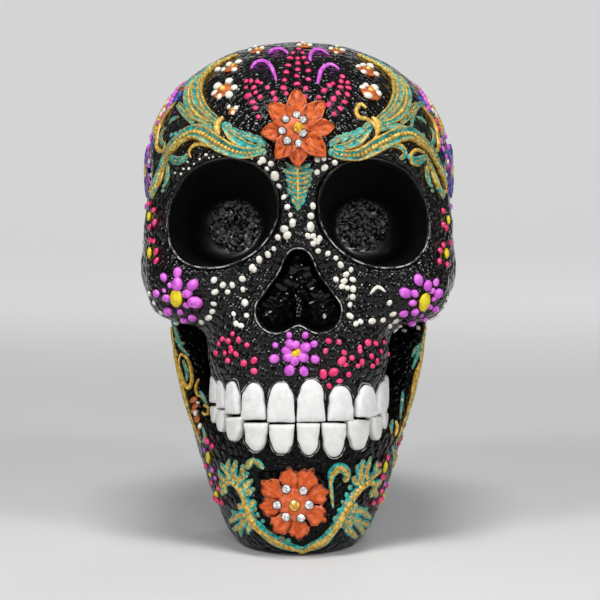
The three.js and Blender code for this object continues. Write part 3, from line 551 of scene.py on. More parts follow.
# %% Black gloss over pebbles
def black_gloss(name, shine):
    """Black paint over pebbles; the shine is how much light its varnish throws back."""
    black = Finish(name, 0.16, specular=shine)
    pebble_share = black.stored("pebble")
    dull_glint_share = black.stored("dull_glint_floor")
    coat_tone = black.mix(black.noise(6.0), (0.0012, 0.0012, 0.0013), (0.004, 0.0038, 0.0037))
    # A grey speckle on the floor of each eye cup is painted glints; that floor is also rougher.
    painted_glint_speckle = black.times(dull_glint_share, black.ramp(black.noise(1.1), 0.46, 0.6))
    black.colour(black.mix(painted_glint_speckle, coat_tone, (0.2, 0.197, 0.19)))
    clear = black.math("ADD", black.ramp(black.noise(3.0), 0.35, 0.7, 0.04, 0.09),
                       black.ramp(pebble_share, 0.0, 0.4, 0.3, 0.0))
    black.gloss(black.math("ADD", clear, black.times(dull_glint_share, 0.1)))
    spread = black.cells(2.4)
    domes = black.times(black.times(spread, spread), -2.0)
    grain = black.times(black.noise(1.7, 0.0), black.ramp(dull_glint_share, 0.0, 1.0, 0.5, 1.6))
    black.bump(black.math("ADD", domes, grain), 0.6, black.ramp(pebble_share, 0.0, 1.0, 0.02, 1.0))
    return black


for skin, shine in ((skull_skin, 0.33), (jaw_skin, 0.12)):
    paint = black_gloss(f"{skin.name}_black_gloss", shine)
    skin.data.materials.append(paint.material)
    print(paint.material.name, len(paint.tree.nodes), "nodes")

black_relief = brushed("black_relief_paint", (0.005, 0.005, 0.005), (0.002, 0.002, 0.002), 0.18, coat=0.25)

# %% Colours of the thick paints
gold_paint = brushed("gold_paint", (0.88, 0.62, 0.14), (0.5, 0.27, 0.03), 0.3, 1.6, 0.12, 0.15)
cream_paint = brushed("cream_paint", (0.9, 0.88, 0.79), (0.72, 0.69, 0.6), 0.4)
pink_paint = brushed("pink_paint", (0.92, 0.075, 0.24), (0.74, 0.025, 0.14), 0.3)
violet_paint = brushed("violet_paint", (0.8, 0.19, 0.8), (0.58, 0.085, 0.6), 0.32)
yellow_paint = brushed("yellow_paint", (0.87, 0.72, 0.01), (0.68, 0.5, 0.0), 0.34)
rust_paint = brushed("rust_paint", (0.62, 0.16, 0.035), (0.36, 0.075, 0.015), 0.42)
blue_paint = brushed("blue_paint", (0.03, 0.14, 0.5), (0.015, 0.06, 0.26), 0.34)
teal_paint = brushed("teal_paint", (0.03, 0.47, 0.44), (0.2, 0.24, 0.1), 0.34)
print("paints so far:", len(bpy.data.materials))

# %% [markdown]
# ## Tools for ornaments
# Two Geometry Nodes trees make nearly all of the ornaments. The first sets a small shape out on points:
# drops, petals, beads and stones. Each point stores which way is out of the skull, which way the shape
# points and how large it is. The second lays a band along a path: a section is swept with Curve to Mesh,
# with its top facing out of the skull, and beads can follow the middle of the band. Doing this by hand for
# hundreds of drops would be slow, and a tree keeps them all alike.

# %% Lines of sight and paths on the skull
def sight(pixels):
    """Where lines of sight through picture points meet the skull."""
    pixels = np.asarray(pixels, float)
    scale = MM_PER_PIXEL / VIEW_DISTANCE
    half = FRAME_PIXELS / 2
    rays = look + rightward * ((pixels[:, :1] - half) * scale) + upward * ((half - pixels[:, 1:2]) * scale)
    rays = unit(rays)
    travel = np.full(len(pixels), VIEW_DISTANCE - 110.0)
    best = np.full(len(pixels), 1e9)
    nearest = travel.copy()
    for _ in range(60):
        gap = skin_form(*(eye_point + rays * travel[:, None]).T)
        closer = gap < best
        best = np.where(closer, gap, best)
        nearest = np.where(closer, travel, nearest)
        travel = np.minimum(travel + np.clip(gap * 0.8, -3, 10), VIEW_DISTANCE + 60)
    return settle(eye_point + rays * nearest[:, None])


def smooth_path(points, spacing):
    """A smooth curve through the given points, as evenly spaced points."""
    points = np.asarray(points, float)
    padded = np.vstack([2 * points[0] - points[1], points, 2 * points[-1] - points[-2]])
    curve = []
    for a, b, c, d in zip(padded, padded[1:], padded[2:], padded[3:]):
        t = np.linspace(0, 1, 24, endpoint=False)[:, None]
        curve.append(0.5 * (2 * b + (c - a) * t + (2 * a - 5 * b + 4 * c - d) * t ** 2
                            + (3 * b - a - 3 * c + d) * t ** 3))
    curve = np.vstack(curve + [points[-1:]])
    length = np.concatenate([[0], np.cumsum(np.linalg.norm(np.diff(curve, axis=0), axis=1))])
    count = max(int(round(length[-1] / spacing)), 4)
    marks = np.linspace(0, length[-1], count + 1)
    return np.stack([np.interp(marks, length, curve[:, i]) for i in range(curve.shape[1])], 1)


def head_path(points, spacing=0.8):
    return settle(smooth_path(points, spacing))


print("the picture's middle on the skull:", sight([(300, 300)]).round(1).tolist())

# %% Helpers for node trees
def new_tree(name, inputs):
    tree = bpy.data.node_groups.new(name, "GeometryNodeTree")
    tree.interface.new_socket("Geometry", in_out="INPUT", socket_type="NodeSocketGeometry")
    tree.interface.new_socket("Geometry", in_out="OUTPUT", socket_type="NodeSocketGeometry")
    for label, kind, default in inputs:
        socket = tree.interface.new_socket(label, in_out="INPUT", socket_type="NodeSocket" + kind)
        if default is not None:
            socket.default_value = default
    return tree


def tree_tools(tree):
    def node(kind, **settings):
        made = tree.nodes.new(kind)
        for key, value in settings.items():
            setattr(made, key, value)
        return made

    def join(output, socket):
        tree.links.new(output, socket)

    def wire(giver, output, taker, socket):
        join(giver.outputs[output], taker.inputs[socket])

    def stored(name, kind):
        made = node("GeometryNodeInputNamedAttribute", data_type=kind)
        made.inputs["Name"].default_value = name
        return made.outputs["Attribute"]

    return node, join, wire, stored


def socket_named(sockets, identifier):
    return [socket for socket in sockets if socket.identifier == identifier][0]


def facing_turn(node, join, stored):
    """A turn that puts a shape's Z out of the skull and its X along the stored direction."""
    stand = node("FunctionNodeAlignRotationToVector", axis="Z")
    join(stored("facing", "FLOAT_VECTOR"), stand.inputs["Vector"])
    aim = node("FunctionNodeAlignRotationToVector", axis="X", pivot_axis="Z")
    join(stand.outputs["Rotation"], aim.inputs["Rotation"])
    join(stored("aim", "FLOAT_VECTOR"), aim.inputs["Vector"])
    return aim.outputs["Rotation"]


# %% Tree 1: a shape set out on points
set_out = new_tree("set_out_shapes", [
    ("Shape", "Object", None), ("Paint", "Material", None), ("Unevenness", "Float", 0.08),
    ("Seed", "Int", 1)])
node, join, wire, stored = tree_tools(set_out)
given = node("NodeGroupInput")
shape = node("GeometryNodeObjectInfo")
wire(given, "Shape", shape, "Object")
lowest = node("ShaderNodeMath", operation="SUBTRACT")
lowest.inputs[0].default_value = 1.0
wire(given, "Unevenness", lowest, 1)
highest = node("ShaderNodeMath", operation="ADD")
highest.inputs[0].default_value = 1.0
wire(given, "Unevenness", highest, 1)
chance = node("FunctionNodeRandomValue", data_type="FLOAT")
join(lowest.outputs[0], socket_named(chance.inputs, "Min_001"))
join(highest.outputs[0], socket_named(chance.inputs, "Max_001"))
wire(given, "Seed", chance, "Seed")
size = node("ShaderNodeVectorMath", operation="SCALE")
join(stored("extent", "FLOAT_VECTOR"), size.inputs[0])
join(socket_named(chance.outputs, "Value_001"), size.inputs["Scale"])
spots = node("GeometryNodeInstanceOnPoints")
wire(given, "Geometry", spots, "Points")
wire(shape, "Geometry", spots, "Instance")
join(facing_turn(node, join, stored), spots.inputs["Rotation"])
wire(size, "Vector", spots, "Scale")
real = node("GeometryNodeRealizeInstances")
wire(spots, "Instances", real, "Geometry")
coat = node("GeometryNodeSetMaterial")
wire(real, "Geometry", coat, "Geometry")
wire(given, "Paint", coat, "Material")
join(coat.outputs["Geometry"], node("NodeGroupOutput").inputs["Geometry"])
print("set-out tree:", len(set_out.nodes), "nodes")

# %% Tree 2: a band laid along paths
lay_band = new_tree("lay_bands", [
    ("Section", "Object", None), ("Paint", "Material", None), ("Bead", "Object", None),
    ("Bead Paint", "Material", None), ("Bead Spacing", "Float", 0.0016)])
node, join, wire, stored = tree_tools(lay_band)
given = node("NodeGroupInput")
paths = node("GeometryNodeMeshToCurve")
wire(given, "Geometry", paths, "Mesh")
upright = node("GeometryNodeSetCurveNormal", mode="FREE")
wire(paths, "Curve", upright, "Curve")
join(stored("facing", "FLOAT_VECTOR"), upright.inputs["Normal"])
measured = node("GeometryNodeStoreNamedAttribute", data_type="FLOAT", domain="POINT")
measured.inputs["Name"].default_value = "along"
wire(upright, "Curve", measured, "Geometry")
join(node("GeometryNodeSplineParameter").outputs["Length"], measured.inputs["Value"])
section = node("GeometryNodeObjectInfo")
wire(given, "Section", section, "Object")
marked = node("GeometryNodeStoreNamedAttribute", data_type="FLOAT", domain="POINT")
marked.inputs["Name"].default_value = "across"
wire(section, "Geometry", marked, "Geometry")
split = node("ShaderNodeSeparateXYZ")
join(node("GeometryNodeInputPosition").outputs["Position"], split.inputs["Vector"])
wire(split, "Y", marked, "Value")
swept = node("GeometryNodeCurveToMesh")
swept.inputs["Fill Caps"].default_value = True
wire(measured, "Geometry", swept, "Curve")
wire(marked, "Geometry", swept, "Profile Curve")
join(stored("half_width", "FLOAT"), swept.inputs["Scale"])
smoothed = node("GeometryNodeSetShadeSmooth")
wire(swept, "Mesh", smoothed, "Geometry")
band_coat = node("GeometryNodeSetMaterial")
wire(smoothed, "Geometry", band_coat, "Geometry")
wire(given, "Paint", band_coat, "Material")
stations = node("GeometryNodeCurveToPoints", mode="LENGTH")
wire(upright, "Curve", stations, "Curve")
wire(given, "Bead Spacing", stations, "Length")
lifted = node("GeometryNodeSetPosition")
wire(stations, "Points", lifted, "Geometry")
rise = node("ShaderNodeMath", operation="MULTIPLY")
join(stored("half_width", "FLOAT"), rise.inputs[0])
rise.inputs[1].default_value = 0.16
lift = node("ShaderNodeVectorMath", operation="SCALE")
join(stored("facing", "FLOAT_VECTOR"), lift.inputs[0])
wire(rise, 0, lift, "Scale")
wire(lift, "Vector", lifted, "Offset")
wanted = node("FunctionNodeCompare", data_type="FLOAT", operation="GREATER_THAN")
join(stored("bead", "FLOAT"), wanted.inputs[0])
wanted.inputs[1].default_value = 0.0001
bead_shape = node("GeometryNodeObjectInfo")
wire(given, "Bead", bead_shape, "Object")
beads = node("GeometryNodeInstanceOnPoints")
wire(lifted, "Geometry", beads, "Points")
wire(wanted, 0, beads, "Selection")
wire(bead_shape, "Geometry", beads, "Instance")
turn = node("FunctionNodeAlignRotationToVector", axis="Z")
join(stored("facing", "FLOAT_VECTOR"), turn.inputs["Vector"])
wire(turn, "Rotation", beads, "Rotation")
join(stored("bead", "FLOAT"), beads.inputs["Scale"])
bead_coat = node("GeometryNodeSetMaterial")
wire(beads, "Instances", bead_coat, "Geometry")
wire(given, "Bead Paint", bead_coat, "Material")
together = node("GeometryNodeJoinGeometry")
wire(band_coat, "Geometry", together, "Geometry")
wire(bead_coat, "Geometry", together, "Geometry")
real = node("GeometryNodeRealizeInstances")
wire(together, "Geometry", real, "Geometry")
join(real.outputs["Geometry"], node("NodeGroupOutput").inputs["Geometry"])
print("band tree:", len(lay_band.nodes), "nodes")

# %% Running a tree once and keeping a plain mesh
def run_tree(name, tree, points, edges, values, settings):
    bare = bpy.data.meshes.new(name + "_bare")
    bare.from_pydata((np.asarray(points) * MM).tolist(), edges, [])
    for key, numbers in values.items():
        add_values(bare, key, numbers)
    piece = place(name, bare)
    maker = piece.modifiers.new("making", "NODES")
    maker.node_group = tree
    for socket in tree.interface.items_tree:
        if socket.item_type == "SOCKET" and socket.in_out == "INPUT" and socket.name in settings:
            maker[socket.identifier] = settings[socket.name]
    graph = bpy.context.evaluated_depsgraph_get()
    mesh = bpy.data.meshes.new_from_object(piece.evaluated_get(graph), preserve_all_data_layers=True,
                                           depsgraph=graph)
    piece.modifiers.remove(maker)
    piece.data = mesh
    bpy.data.meshes.remove(bare)
    mesh.name = name
    closed_normals(mesh)
    return piece


def finish_piece(piece, slot, *nodes):
    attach(piece, "root")
    if nodes:
        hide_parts(*nodes)
    print(piece.name, len(piece.data.polygons), "faces")
    return piece


# %% Shapes and sections the trees use
def drop_mesh():
    """A drop of paint: a dome that bulges a little over its foot."""
    rows = ((0.86, -0.35), (1.0, 0.12), (0.86, 0.52), (0.52, 0.86))
    sides = 9
    points = [(r * math.cos(a), r * math.sin(a), h) for r, h in rows
              for a in (2 * math.pi * i / sides for i in range(sides))]
    points.append((0.0, 0.0, 1.0))
    faces = [(r * sides + i, r * sides + (i + 1) % sides, (r + 1) * sides + (i + 1) % sides,
              (r + 1) * sides + i)
             for r in range(len(rows) - 1) for i in range(sides)]
    top = (len(rows) - 1) * sides
    faces += [(top + i, top + (i + 1) % sides, len(points) - 1) for i in range(sides)]
    faces.append(tuple(reversed(range(sides))))
    return plain_mesh("drop", np.array(points) / MM, faces)


def section_curve(name, outline):
    """A closed section: heights above the skull and places across, from -1 to 1."""
    data = bpy.data.curves.new(name, "CURVE")
    data.dimensions = "3D"
    spline = data.splines.new("POLY")
    spline.points.add(len(outline) - 1)
    for point, (height, across) in zip(spline.points, outline):
        point.co = (height, across, 0.0, 1.0)
    spline.use_cyclic_u = True
    return place(name, data)


def both_sides(half):
    """A section given from its edge to its middle, mirrored."""
    return half + [(h, -s) for h, s in reversed(half) if s != 0]


drop = place("drop_shape", drop_mesh())
rimmed_section = section_curve("rimmed_section", both_sides(
    [(-0.6, -1), (0.2, -1), (0.46, -0.94), (0.55, -0.82), (0.46, -0.7), (0.22, -0.56), (0.15, -0.3),
     (0.2, 0)]))
leaf_section = section_curve("leaf_section", both_sides(
    [(-0.6, -1), (0.15, -1), (0.42, -0.86), (0.5, -0.62), (0.42, -0.34), (0.36, -0.16), (0.52, 0)]))
round_section = section_curve("round_section", both_sides(
    [(-0.6, -1), (0.1, -1), (0.55, -0.8), (0.85, -0.45), (0.95, 0)]))
templates = [drop, rimmed_section, leaf_section, round_section]
print("shapes for the trees:", [template.name for template in templates])

# %% Drops and bands on the skull
DROP_STRETCH = 0.32
DROP_SLIMMING = 0.1
# A drop's direction is read between its place and a second line of sight, this many picture points ahead.
TURN_AHEAD = 1.5
# A band widens over the first share of its length and narrows over the last.
BAND_OPENING = 0.3
BAND_CLOSING = 0.45


def set_shapes(name, shape, paint, slot, feet, facing, aim, extent, unevenness, seed, nodes):
    """Sets a shape out on places in mm, with its sizes in mm."""
    values = {"facing": facing, "aim": aim, "extent": extent * MM}
    piece = run_tree(name, set_out, feet, [], values, {
        "Shape": shape, "Paint": paint, "Unevenness": unevenness, "Seed": seed})
    return finish_piece(piece, slot, *nodes)


def drops(name, paint, slot, spots, height=0.75, nodes=(), unevenness=0.1, seed=1):
    """Drops of paint from (x, y, radius), or (x, y, half length, half width, angle), in picture points."""
    chance = np.random.default_rng(seed)
    rows = []
    for spot in spots:
        stretch = chance.uniform(0, DROP_STRETCH)
        slimming = chance.uniform(0, DROP_SLIMMING)
        angle = chance.uniform(0, 180)
        if len(spot) == 3:
            spot = (*spot[:2], spot[2] * (1 + stretch), spot[2] * (1 - slimming), angle)
        rows.append(spot)
    table = np.array(rows, float)
    feet = sight(table[:, :2])
    facing = outward(skin_form, feet)
    angle = np.radians(table[:, 4])
    ahead = sight(table[:, :2] + TURN_AHEAD * np.stack([np.cos(angle), -np.sin(angle)], 1)) - feet
    flat = table[:, 2:4] * MM_PER_PIXEL
    extent = np.column_stack([flat, flat.min(1) * height])
    return set_shapes(name, drop, paint, slot, feet, facing, ahead, extent, unevenness, seed, nodes)


def head_drops(name, paint, slot, points, radius, height=0.75, seed=1):
    """Drops of paint on the sides the picture doesn't show, from places on the head in mm."""
    feet = settle(np.asarray(points, float))
    facing = outward(skin_form, feet)
    extent = np.tile((radius, radius, radius * height), (len(feet), 1))
    aim = np.tile((0.0, 0.0, 1.0), (len(feet), 1))
    return set_shapes(name, drop, paint, slot, feet, facing, aim, extent, 0.1, seed, ())


def bands(name, section, paint, slot, runs, nodes=(), bead_paint=None, bead_gap=1.5, form=skin_form):
    """Bands along paths. A run is (path in mm, width in mm, bead radius, start share, end share)."""
    points, edges, half, bead = [], [], [], []
    for path, width, bead_radius, start_share, end_share in runs:
        first = len(points)
        t = np.linspace(0, 1, len(path))
        opening = start_share + (1 - start_share) * np.minimum(t / BAND_OPENING, 1.0)
        closing = end_share + (1 - end_share) * np.sqrt(np.minimum((1 - t) / BAND_CLOSING, 1.0))
        share = np.minimum(opening, closing)
        points += list(path)
        edges += [(first + i, first + i + 1) for i in range(len(path) - 1)]
        half += list(width / 2 * share * MM)
        bead += list(np.where(share > 0.5, bead_radius * share, 0.0) * MM)
    values = {"facing": outward(form, np.array(points)), "half_width": half, "bead": bead}
    piece = run_tree(name, lay_band, points, edges, values, {
        "Section": section, "Paint": paint, "Bead": drop, "Bead Paint": bead_paint or paint,
        "Bead Spacing": bead_gap * MM})
    return finish_piece(piece, slot, *nodes)


# %% [markdown]
# ## Teeth
# The teeth are low white pillows on the curved line of the jaw. On the real figurine they are cast and then
# painted, so their outlines are uneven. A cube with bevels would give ten equal boxes, so each tooth is
# spun from rings here: the outline is round at the gum and square at the bite, and the rings swell outward
# and then roll back into the gum.

# %% The line of the teeth
# Each tooth: left edge, right edge, gum end and bite end, in picture points.
UPPER_TEETH = [(213, 220.5, 373, 403), (219.5, 227.5, 375, 408), (227.5, 240, 379, 414),
               (240.5, 265, 383, 420.3), (266.5, 295, 383, 422.3), (296.5, 326, 380, 421.3),
               (328.5, 354.5, 386, 420.8), (356, 374.5, 384, 417), (374.5, 383.5, 380, 414.5),
               (382, 388.5, 375, 410)]
LOWER_TEETH = [(214, 220, 423, 406), (219.5, 227.5, 432, 410), (228, 242.5, 441, 417),
               (243.5, 267.5, 451, 422.9), (268.5, 294.5, 454, 424.9), (296.5, 320.5, 455, 423.8),
               (322, 347, 457, 423.5), (348, 370, 450, 420), (369.5, 379.5, 440, 416.5),
               (379, 384.5, 430, 412)]


def on_arch(pixels):
    """Puts picture points on the curved wall of the tooth line."""
    offset = (pixels - FRAME_PIXELS / 2) * MM_PER_PIXEL / VIEW_DISTANCE
    depth = np.full(len(pixels), VIEW_DISTANCE - 60.0)
    for _ in range(8):
        x = np.clip(VIEW_TARGET[0] + offset[:, 0] * depth, -ARCH_HALF_WIDTH * 0.998, ARCH_HALF_WIDTH * 0.998)
        share = 1 - (np.abs(x) / ARCH_HALF_WIDTH) ** ARCH_SQUARENESS
        y = ARCH_REAR - ARCH_DEPTH * share ** (1 / ARCH_SQUARENESS)
        sight_line = look[None] - upward * offset[:, 1:2]
        depth = 0.5 * depth + 0.5 * (y - eye_point[1]) / sight_line[:, 1]
    z = eye_point[2] + sight_line[:, 2] * depth
    return np.stack([x, y, z], 1)


def arch_normal(points):
    x, y = points[:, 0], points[:, 1]
    u = np.sign(x) * (np.abs(x) / ARCH_HALF_WIDTH) ** (ARCH_SQUARENESS - 1) / ARCH_HALF_WIDTH
    v = -(np.maximum(ARCH_REAR - y, 0) / ARCH_DEPTH) ** (ARCH_SQUARENESS - 1) / ARCH_DEPTH
    return unit(np.stack([u, v, 0 * u], 1))


print("front of the tooth line:", on_arch(np.array([[300.0, 420.0]])).round(1).tolist())

# %% One tooth from outline rings
UPPER_TAPER = 0.55
LOWER_TAPER = 0.72
NARROW_TOOTH = 19
NARROW_SWELL = 1.1
TOOTH_SHAKE = 0.075
# Each ring: its share of the outline, and how far it swells out of the tooth line in mm.
TOOTH_RINGS = ((0.0, 0.8), (0.4, 0.78), (0.7, 0.7), (0.88, 0.5), (0.96, 0.15), (1.0, -0.5), (1.0, -1.6),
               (0.94, -3.4))


def tooth_middle(left, right, gum_end, bite_end):
    """Middle and half size of a tooth in picture points; the half height is negative in the lower row."""
    middle = np.array([(left + right) / 2, (gum_end + bite_end) / 2])
    return middle, np.array([(right - left) / 2, (bite_end - gum_end) / 2])


def tooth_outline(seed, upper):
    """Round at the gum and square at the bite: places across and down, from -1 to 1."""
    taper = UPPER_TAPER if upper else LOWER_TAPER
    t = np.concatenate([np.linspace(0, 1, 9)[1:] ** 2 * 0.4, np.linspace(0.4, 0.97, 7)[1:], [1.0]])
    arch = (1 - (1 - np.minimum(t / taper, 1)) ** 2.5) ** (1 / 2.5)
    wide = arch * (0.8 + 0.2 * t)
    wide[-1] *= 0.94
    edge = np.stack([wide, 2 * t - 1], 1)
    bite = np.stack([np.linspace(0.6, -0.6, 4), np.full(4, 1.0)], 1)
    ring = np.vstack([[(0.0, -1.0)], edge, bite, edge[::-1] * (-1, 1)])
    shake = np.column_stack([ring * 2.6, np.full(len(ring), 3.0 * seed)])
    return ring + TOOTH_SHAKE * np.column_stack([lumps(shake, 1.0, 5), 0.7 * lumps(shake, 1.0, 6)])


def tooth(left, right, gum_end, bite_end, seed):
    outline = tooth_outline(seed, gum_end < bite_end)
    middle, half = tooth_middle(left, right, gum_end, bite_end)
    count = len(outline)
    points = [on_arch(middle[None])[0]]
    normal = [arch_normal(np.array(points))[0]]
    swell = [TOOTH_RINGS[0][1]]
    for share, out in TOOTH_RINGS[1:]:
        ring = on_arch(middle + outline * share * half)
        points += list(ring)
        normal += list(arch_normal(ring))
        swell += [out] * count
    swell = np.array(swell) + (NARROW_SWELL if right - left < NARROW_TOOTH else 0.0)
    points = np.array(points) + np.array(normal) * swell[:, None]
    faces = [(0, 1 + (i + 1) % count, 1 + i) for i in range(count)]
    last = 1 + (len(TOOTH_RINGS) - 2) * count
    for a in range(1, last, count):
        faces += [(a + i, a + (i + 1) % count, a + count + (i + 1) % count, a + count + i)
                  for i in range(count)]
    faces.append(tuple(last + i for i in range(count)))
    return points, faces


print("points round a tooth:", len(tooth_outline(0, True)))

# %% Enamel and the two rows
def enamel_paint(name, dark, light):
    enamel = Finish(name, 0.42, coat=0.15)
    enamel.colour(enamel.mix(enamel.ramp(enamel.noise(3.0), 0.35, 0.7), dark, light))
    enamel.gloss(enamel.ramp(enamel.noise(1.2), 0.3, 0.7, 0.34, 0.52))
    enamel.bump(enamel.noise(1.8), 0.22)
    return enamel.material


def tooth_row(name, teeth, enamel, node_name):
    points, faces = [], []
    for seed, edges in enumerate(teeth):
        new_points, new_faces = tooth(*edges, seed)
        faces += [tuple(i + len(points) for i in face) for face in new_faces]
        points += list(new_points)
    mesh = plain_mesh(name, np.array(points), faces)
    closed_normals(mesh)
    mesh.materials.append(enamel)
    return finish_piece(place(name, mesh), "tooth_white", node_name)


upper_enamel = enamel_paint("upper_enamel_paint", (0.77, 0.765, 0.75), (0.88, 0.875, 0.865))
# The lower row is the same white paint as the upper, made darker: painted shade under the upper row and the
# lamps above.
lower_enamel_shaded = enamel_paint("lower_enamel_painted_shade", (0.69, 0.69, 0.66), (0.78, 0.775, 0.75))
tooth_row("upper_teeth", UPPER_TEETH, upper_enamel, "upper_tooth_row")
tooth_row("lower_teeth", LOWER_TEETH, lower_enamel_shaded, "lower_tooth_row")

# %% [markdown]
# Black paint has run against every wide tooth and stands up in a thin line round its gum end. A bevel on the
# jaw would be the same all round, so each line follows the gum end of its own tooth's outline, a little
# outside it. The lines are swept later, with the lips of the eyes.

# %% Raised gum lines round the teeth
# Sizes are in picture points. Teeth narrower than the least have no line.
GUM_POINTS = 9
GUM_WIDTH = 2.6
GUM_GAP = 1.3
GUM_STRETCH = 1.07
LEAST_TOOTH = 12


def gum_lines(teeth):
    """The paint stands up in a thin line where each tooth leaves the gum."""
    rows = []
    for number, (left, right, gum_end, bite_end) in enumerate(teeth):
        if right - left < LEAST_TOOTH:
            continue
        outline = tooth_outline(number, gum_end < bite_end)
        middle, half = tooth_middle(left, right, gum_end, bite_end)
        path = np.vstack([outline[-GUM_POINTS:], outline[:GUM_POINTS + 1]])
        rows.append((GUM_WIDTH, middle + path * (half[0] + GUM_GAP, half[1] * GUM_STRETCH)))
    return rows


gum_rows = gum_lines(UPPER_TEETH) + gum_lines(LOWER_TEETH)
print("gum lines:", len(gum_rows))

# %% [markdown]
# ## The two large flowers
# Each large flower is moulded: eight petals with a midrib and veins, a boss in the middle and flat-backed
# stones glued on. One petal is modelled as a thin closed leaf of two layers, and the set-out tree places
# it eight times, each turned to its own tip. The crease of every point is stored, so that the paint can be
# darker there as painted shade; the ridges and edges are made paler as painted highlights.

# %% One petal
def petal_mesh(name, outline, relief, rows=13, columns=11):
    """A petal from x 0 to 1 and y -1 to 1; outline gives half widths, relief heights and creases."""
    u = np.linspace(0, 1, rows)
    v = np.linspace(-1, 1, columns)
    uu, vv = np.meshgrid(u, v, indexing="ij")
    length, half = outline(uu, vv)
    top, crease = relief(uu, vv)
    under = np.minimum(top - 0.3, 0.1)
    points = np.concatenate([np.stack([length, half, top], -1).reshape(-1, 3),
                             np.stack([length * 0.97, half * 0.95, under - 0.6], -1).reshape(-1, 3)])
    size = rows * columns
    at = np.arange(size).reshape(rows, columns)
    faces = [(at[i, j], at[i + 1, j], at[i + 1, j + 1], at[i, j + 1])
             for i in range(rows - 1) for j in range(columns - 1)]
    faces += [tuple(k + size for k in reversed(face)) for face in faces]
    edge = [*at[0, :], *at[1:, -1], *at[-1, -2::-1], *at[-2:0:-1, 0]]
    faces += [(a, b, b + size, a + size) for a, b in zip(edge, edge[1:] + edge[:1])]
    mesh = plain_mesh(name, points / MM, faces)
    closed_normals(mesh)
    add_values(mesh, "crease", np.concatenate([crease.ravel(), crease.ravel() * 0 + 0.6]))
    add_values(mesh, "edge", np.concatenate([np.abs(vv).ravel(), np.ones(size)]))
    return mesh


def pointed_outline(u, v):
    half = np.clip(np.sin(np.pi * np.clip(0.1 + 0.9 * u, 0, 1) ** 0.92), 0, 1) ** 0.72
    return u + 0.0 * v, v * half


def pointed_relief(u, v):
    rib = np.exp(-(v / 0.16) ** 2)
    side_vein = np.cos(18 * (u - 0.45 * np.abs(v)))
    top = 0.55 + 0.45 * np.sin(np.pi * u) - 0.1 * u + 0.5 * np.abs(v) ** 2.4 + 0.22 * rib + 0.12 * side_vein
    crease = np.clip(0.5 - 0.5 * side_vein, 0, 1) * (1 - rib) * 0.8
    return top, crease


def notched_outline(u, v):
    lobe_edge = 0.95 + 0.055 * np.cos(7.4 * v + 0.4) - 0.3 * np.abs(v) ** 3 + 0.03 * np.sin(4.2 * v + 1)
    length = u * (1 + (lobe_edge - 1) * ease((u - 0.35) / 0.65))
    half = 0.3 + 0.7 * ease(u / 0.75)
    return length, v * half * (1 + 0.09 * np.sin(13 * u + 2 * v))


def notched_relief(u, v):
    wave = np.sin(8.5 * v + 1.2) * ease(u)
    fold = np.exp(-(v / 0.16) ** 2)
    top = 0.5 + 0.5 * np.sin(np.pi * np.clip(u, 0, 1) * 0.8) + 0.14 * wave - 0.3 * fold * ease(u * 1.4)
    top = top - 0.3 * np.abs(v) ** 4
    edge = np.maximum(np.abs(v) ** 5, ease((u - 0.82) / 0.18))
    crease = np.clip(0.25 * fold + 0.9 * edge, 0, 1)
    return top, crease


pointed_petal = place("pointed_petal", petal_mesh("pointed_petal", pointed_outline, pointed_relief))
notched_petal = place("notched_petal", petal_mesh("notched_petal", notched_outline, notched_relief, 15, 23))
templates += [pointed_petal, notched_petal]
print("petal points:", len(pointed_petal.data.vertices), len(notched_petal.data.vertices))

# %% Petal paint
def petal_paint(name, light, middle, dark, brown):
    paint = Finish(name, 0.24, specular=0.26)
    tone = paint.mix(paint.ramp(paint.noise(2.2), 0.36, 0.66), middle, light)
    # Darker and browner where the crease value is high, in the vein grooves and, on the chin petals, towards
    # the edges and tips: painted shade.
    painted_light_share = paint.times(paint.stored("crease"), paint.ramp(paint.noise(1.3), 0.3, 0.62))
    tone = paint.mix(paint.ramp(painted_light_share, 0.12, brown), tone, dark)
    # Paler in broken streaks on the ridges and edges: painted highlights.
    raised = paint.times(paint.ramp(paint.stored("crease"), 0.14, 0.02), 0.6)
    raised = paint.math("MAXIMUM", raised, paint.ramp(paint.stored("edge"), 0.8, 0.96))
    painted_ridge_highlight = paint.times(raised, paint.ramp(paint.noise(2.6), 0.42, 0.62))
    pale = tuple(min(1.0, 1.2 * part + 0.1) for part in light)
    tone = paint.mix(paint.times(painted_ridge_highlight, 0.75), tone, pale)
    fleck = paint.ramp(paint.noise(0.9, 2.0), 0.66, 0.74)
    paint.colour(paint.mix(paint.times(fleck, 0.75), tone, (0.06, 0.018, 0.01)))
    paint.gloss(paint.ramp(paint.noise(1.2), 0.3, 0.7, 0.16, 0.32))
    paint.bump(paint.noise(1.0), 0.2)
    return paint.material


orange_petals = petal_paint("orange_petal_paint", (0.64, 0.118, 0.014), (0.5, 0.072, 0.008),
                            (0.16, 0.02, 0.006), 0.75)
burnt_petals = petal_paint("burnt_petal_paint", (0.62, 0.11, 0.02), (0.5, 0.07, 0.012),
                           (0.09, 0.02, 0.008), 0.55)
print("petal paints:", orange_petals.name, burnt_petals.name)

# %% [markdown]
# The stones are cut glass with a flat foil back. A glass shader needs many bounces of light before it
# sparkles, so each stone is a closed facetted form in a bright, coated finish, with darker cells painted
# into its colour as painted reflections in place of the sparkle.

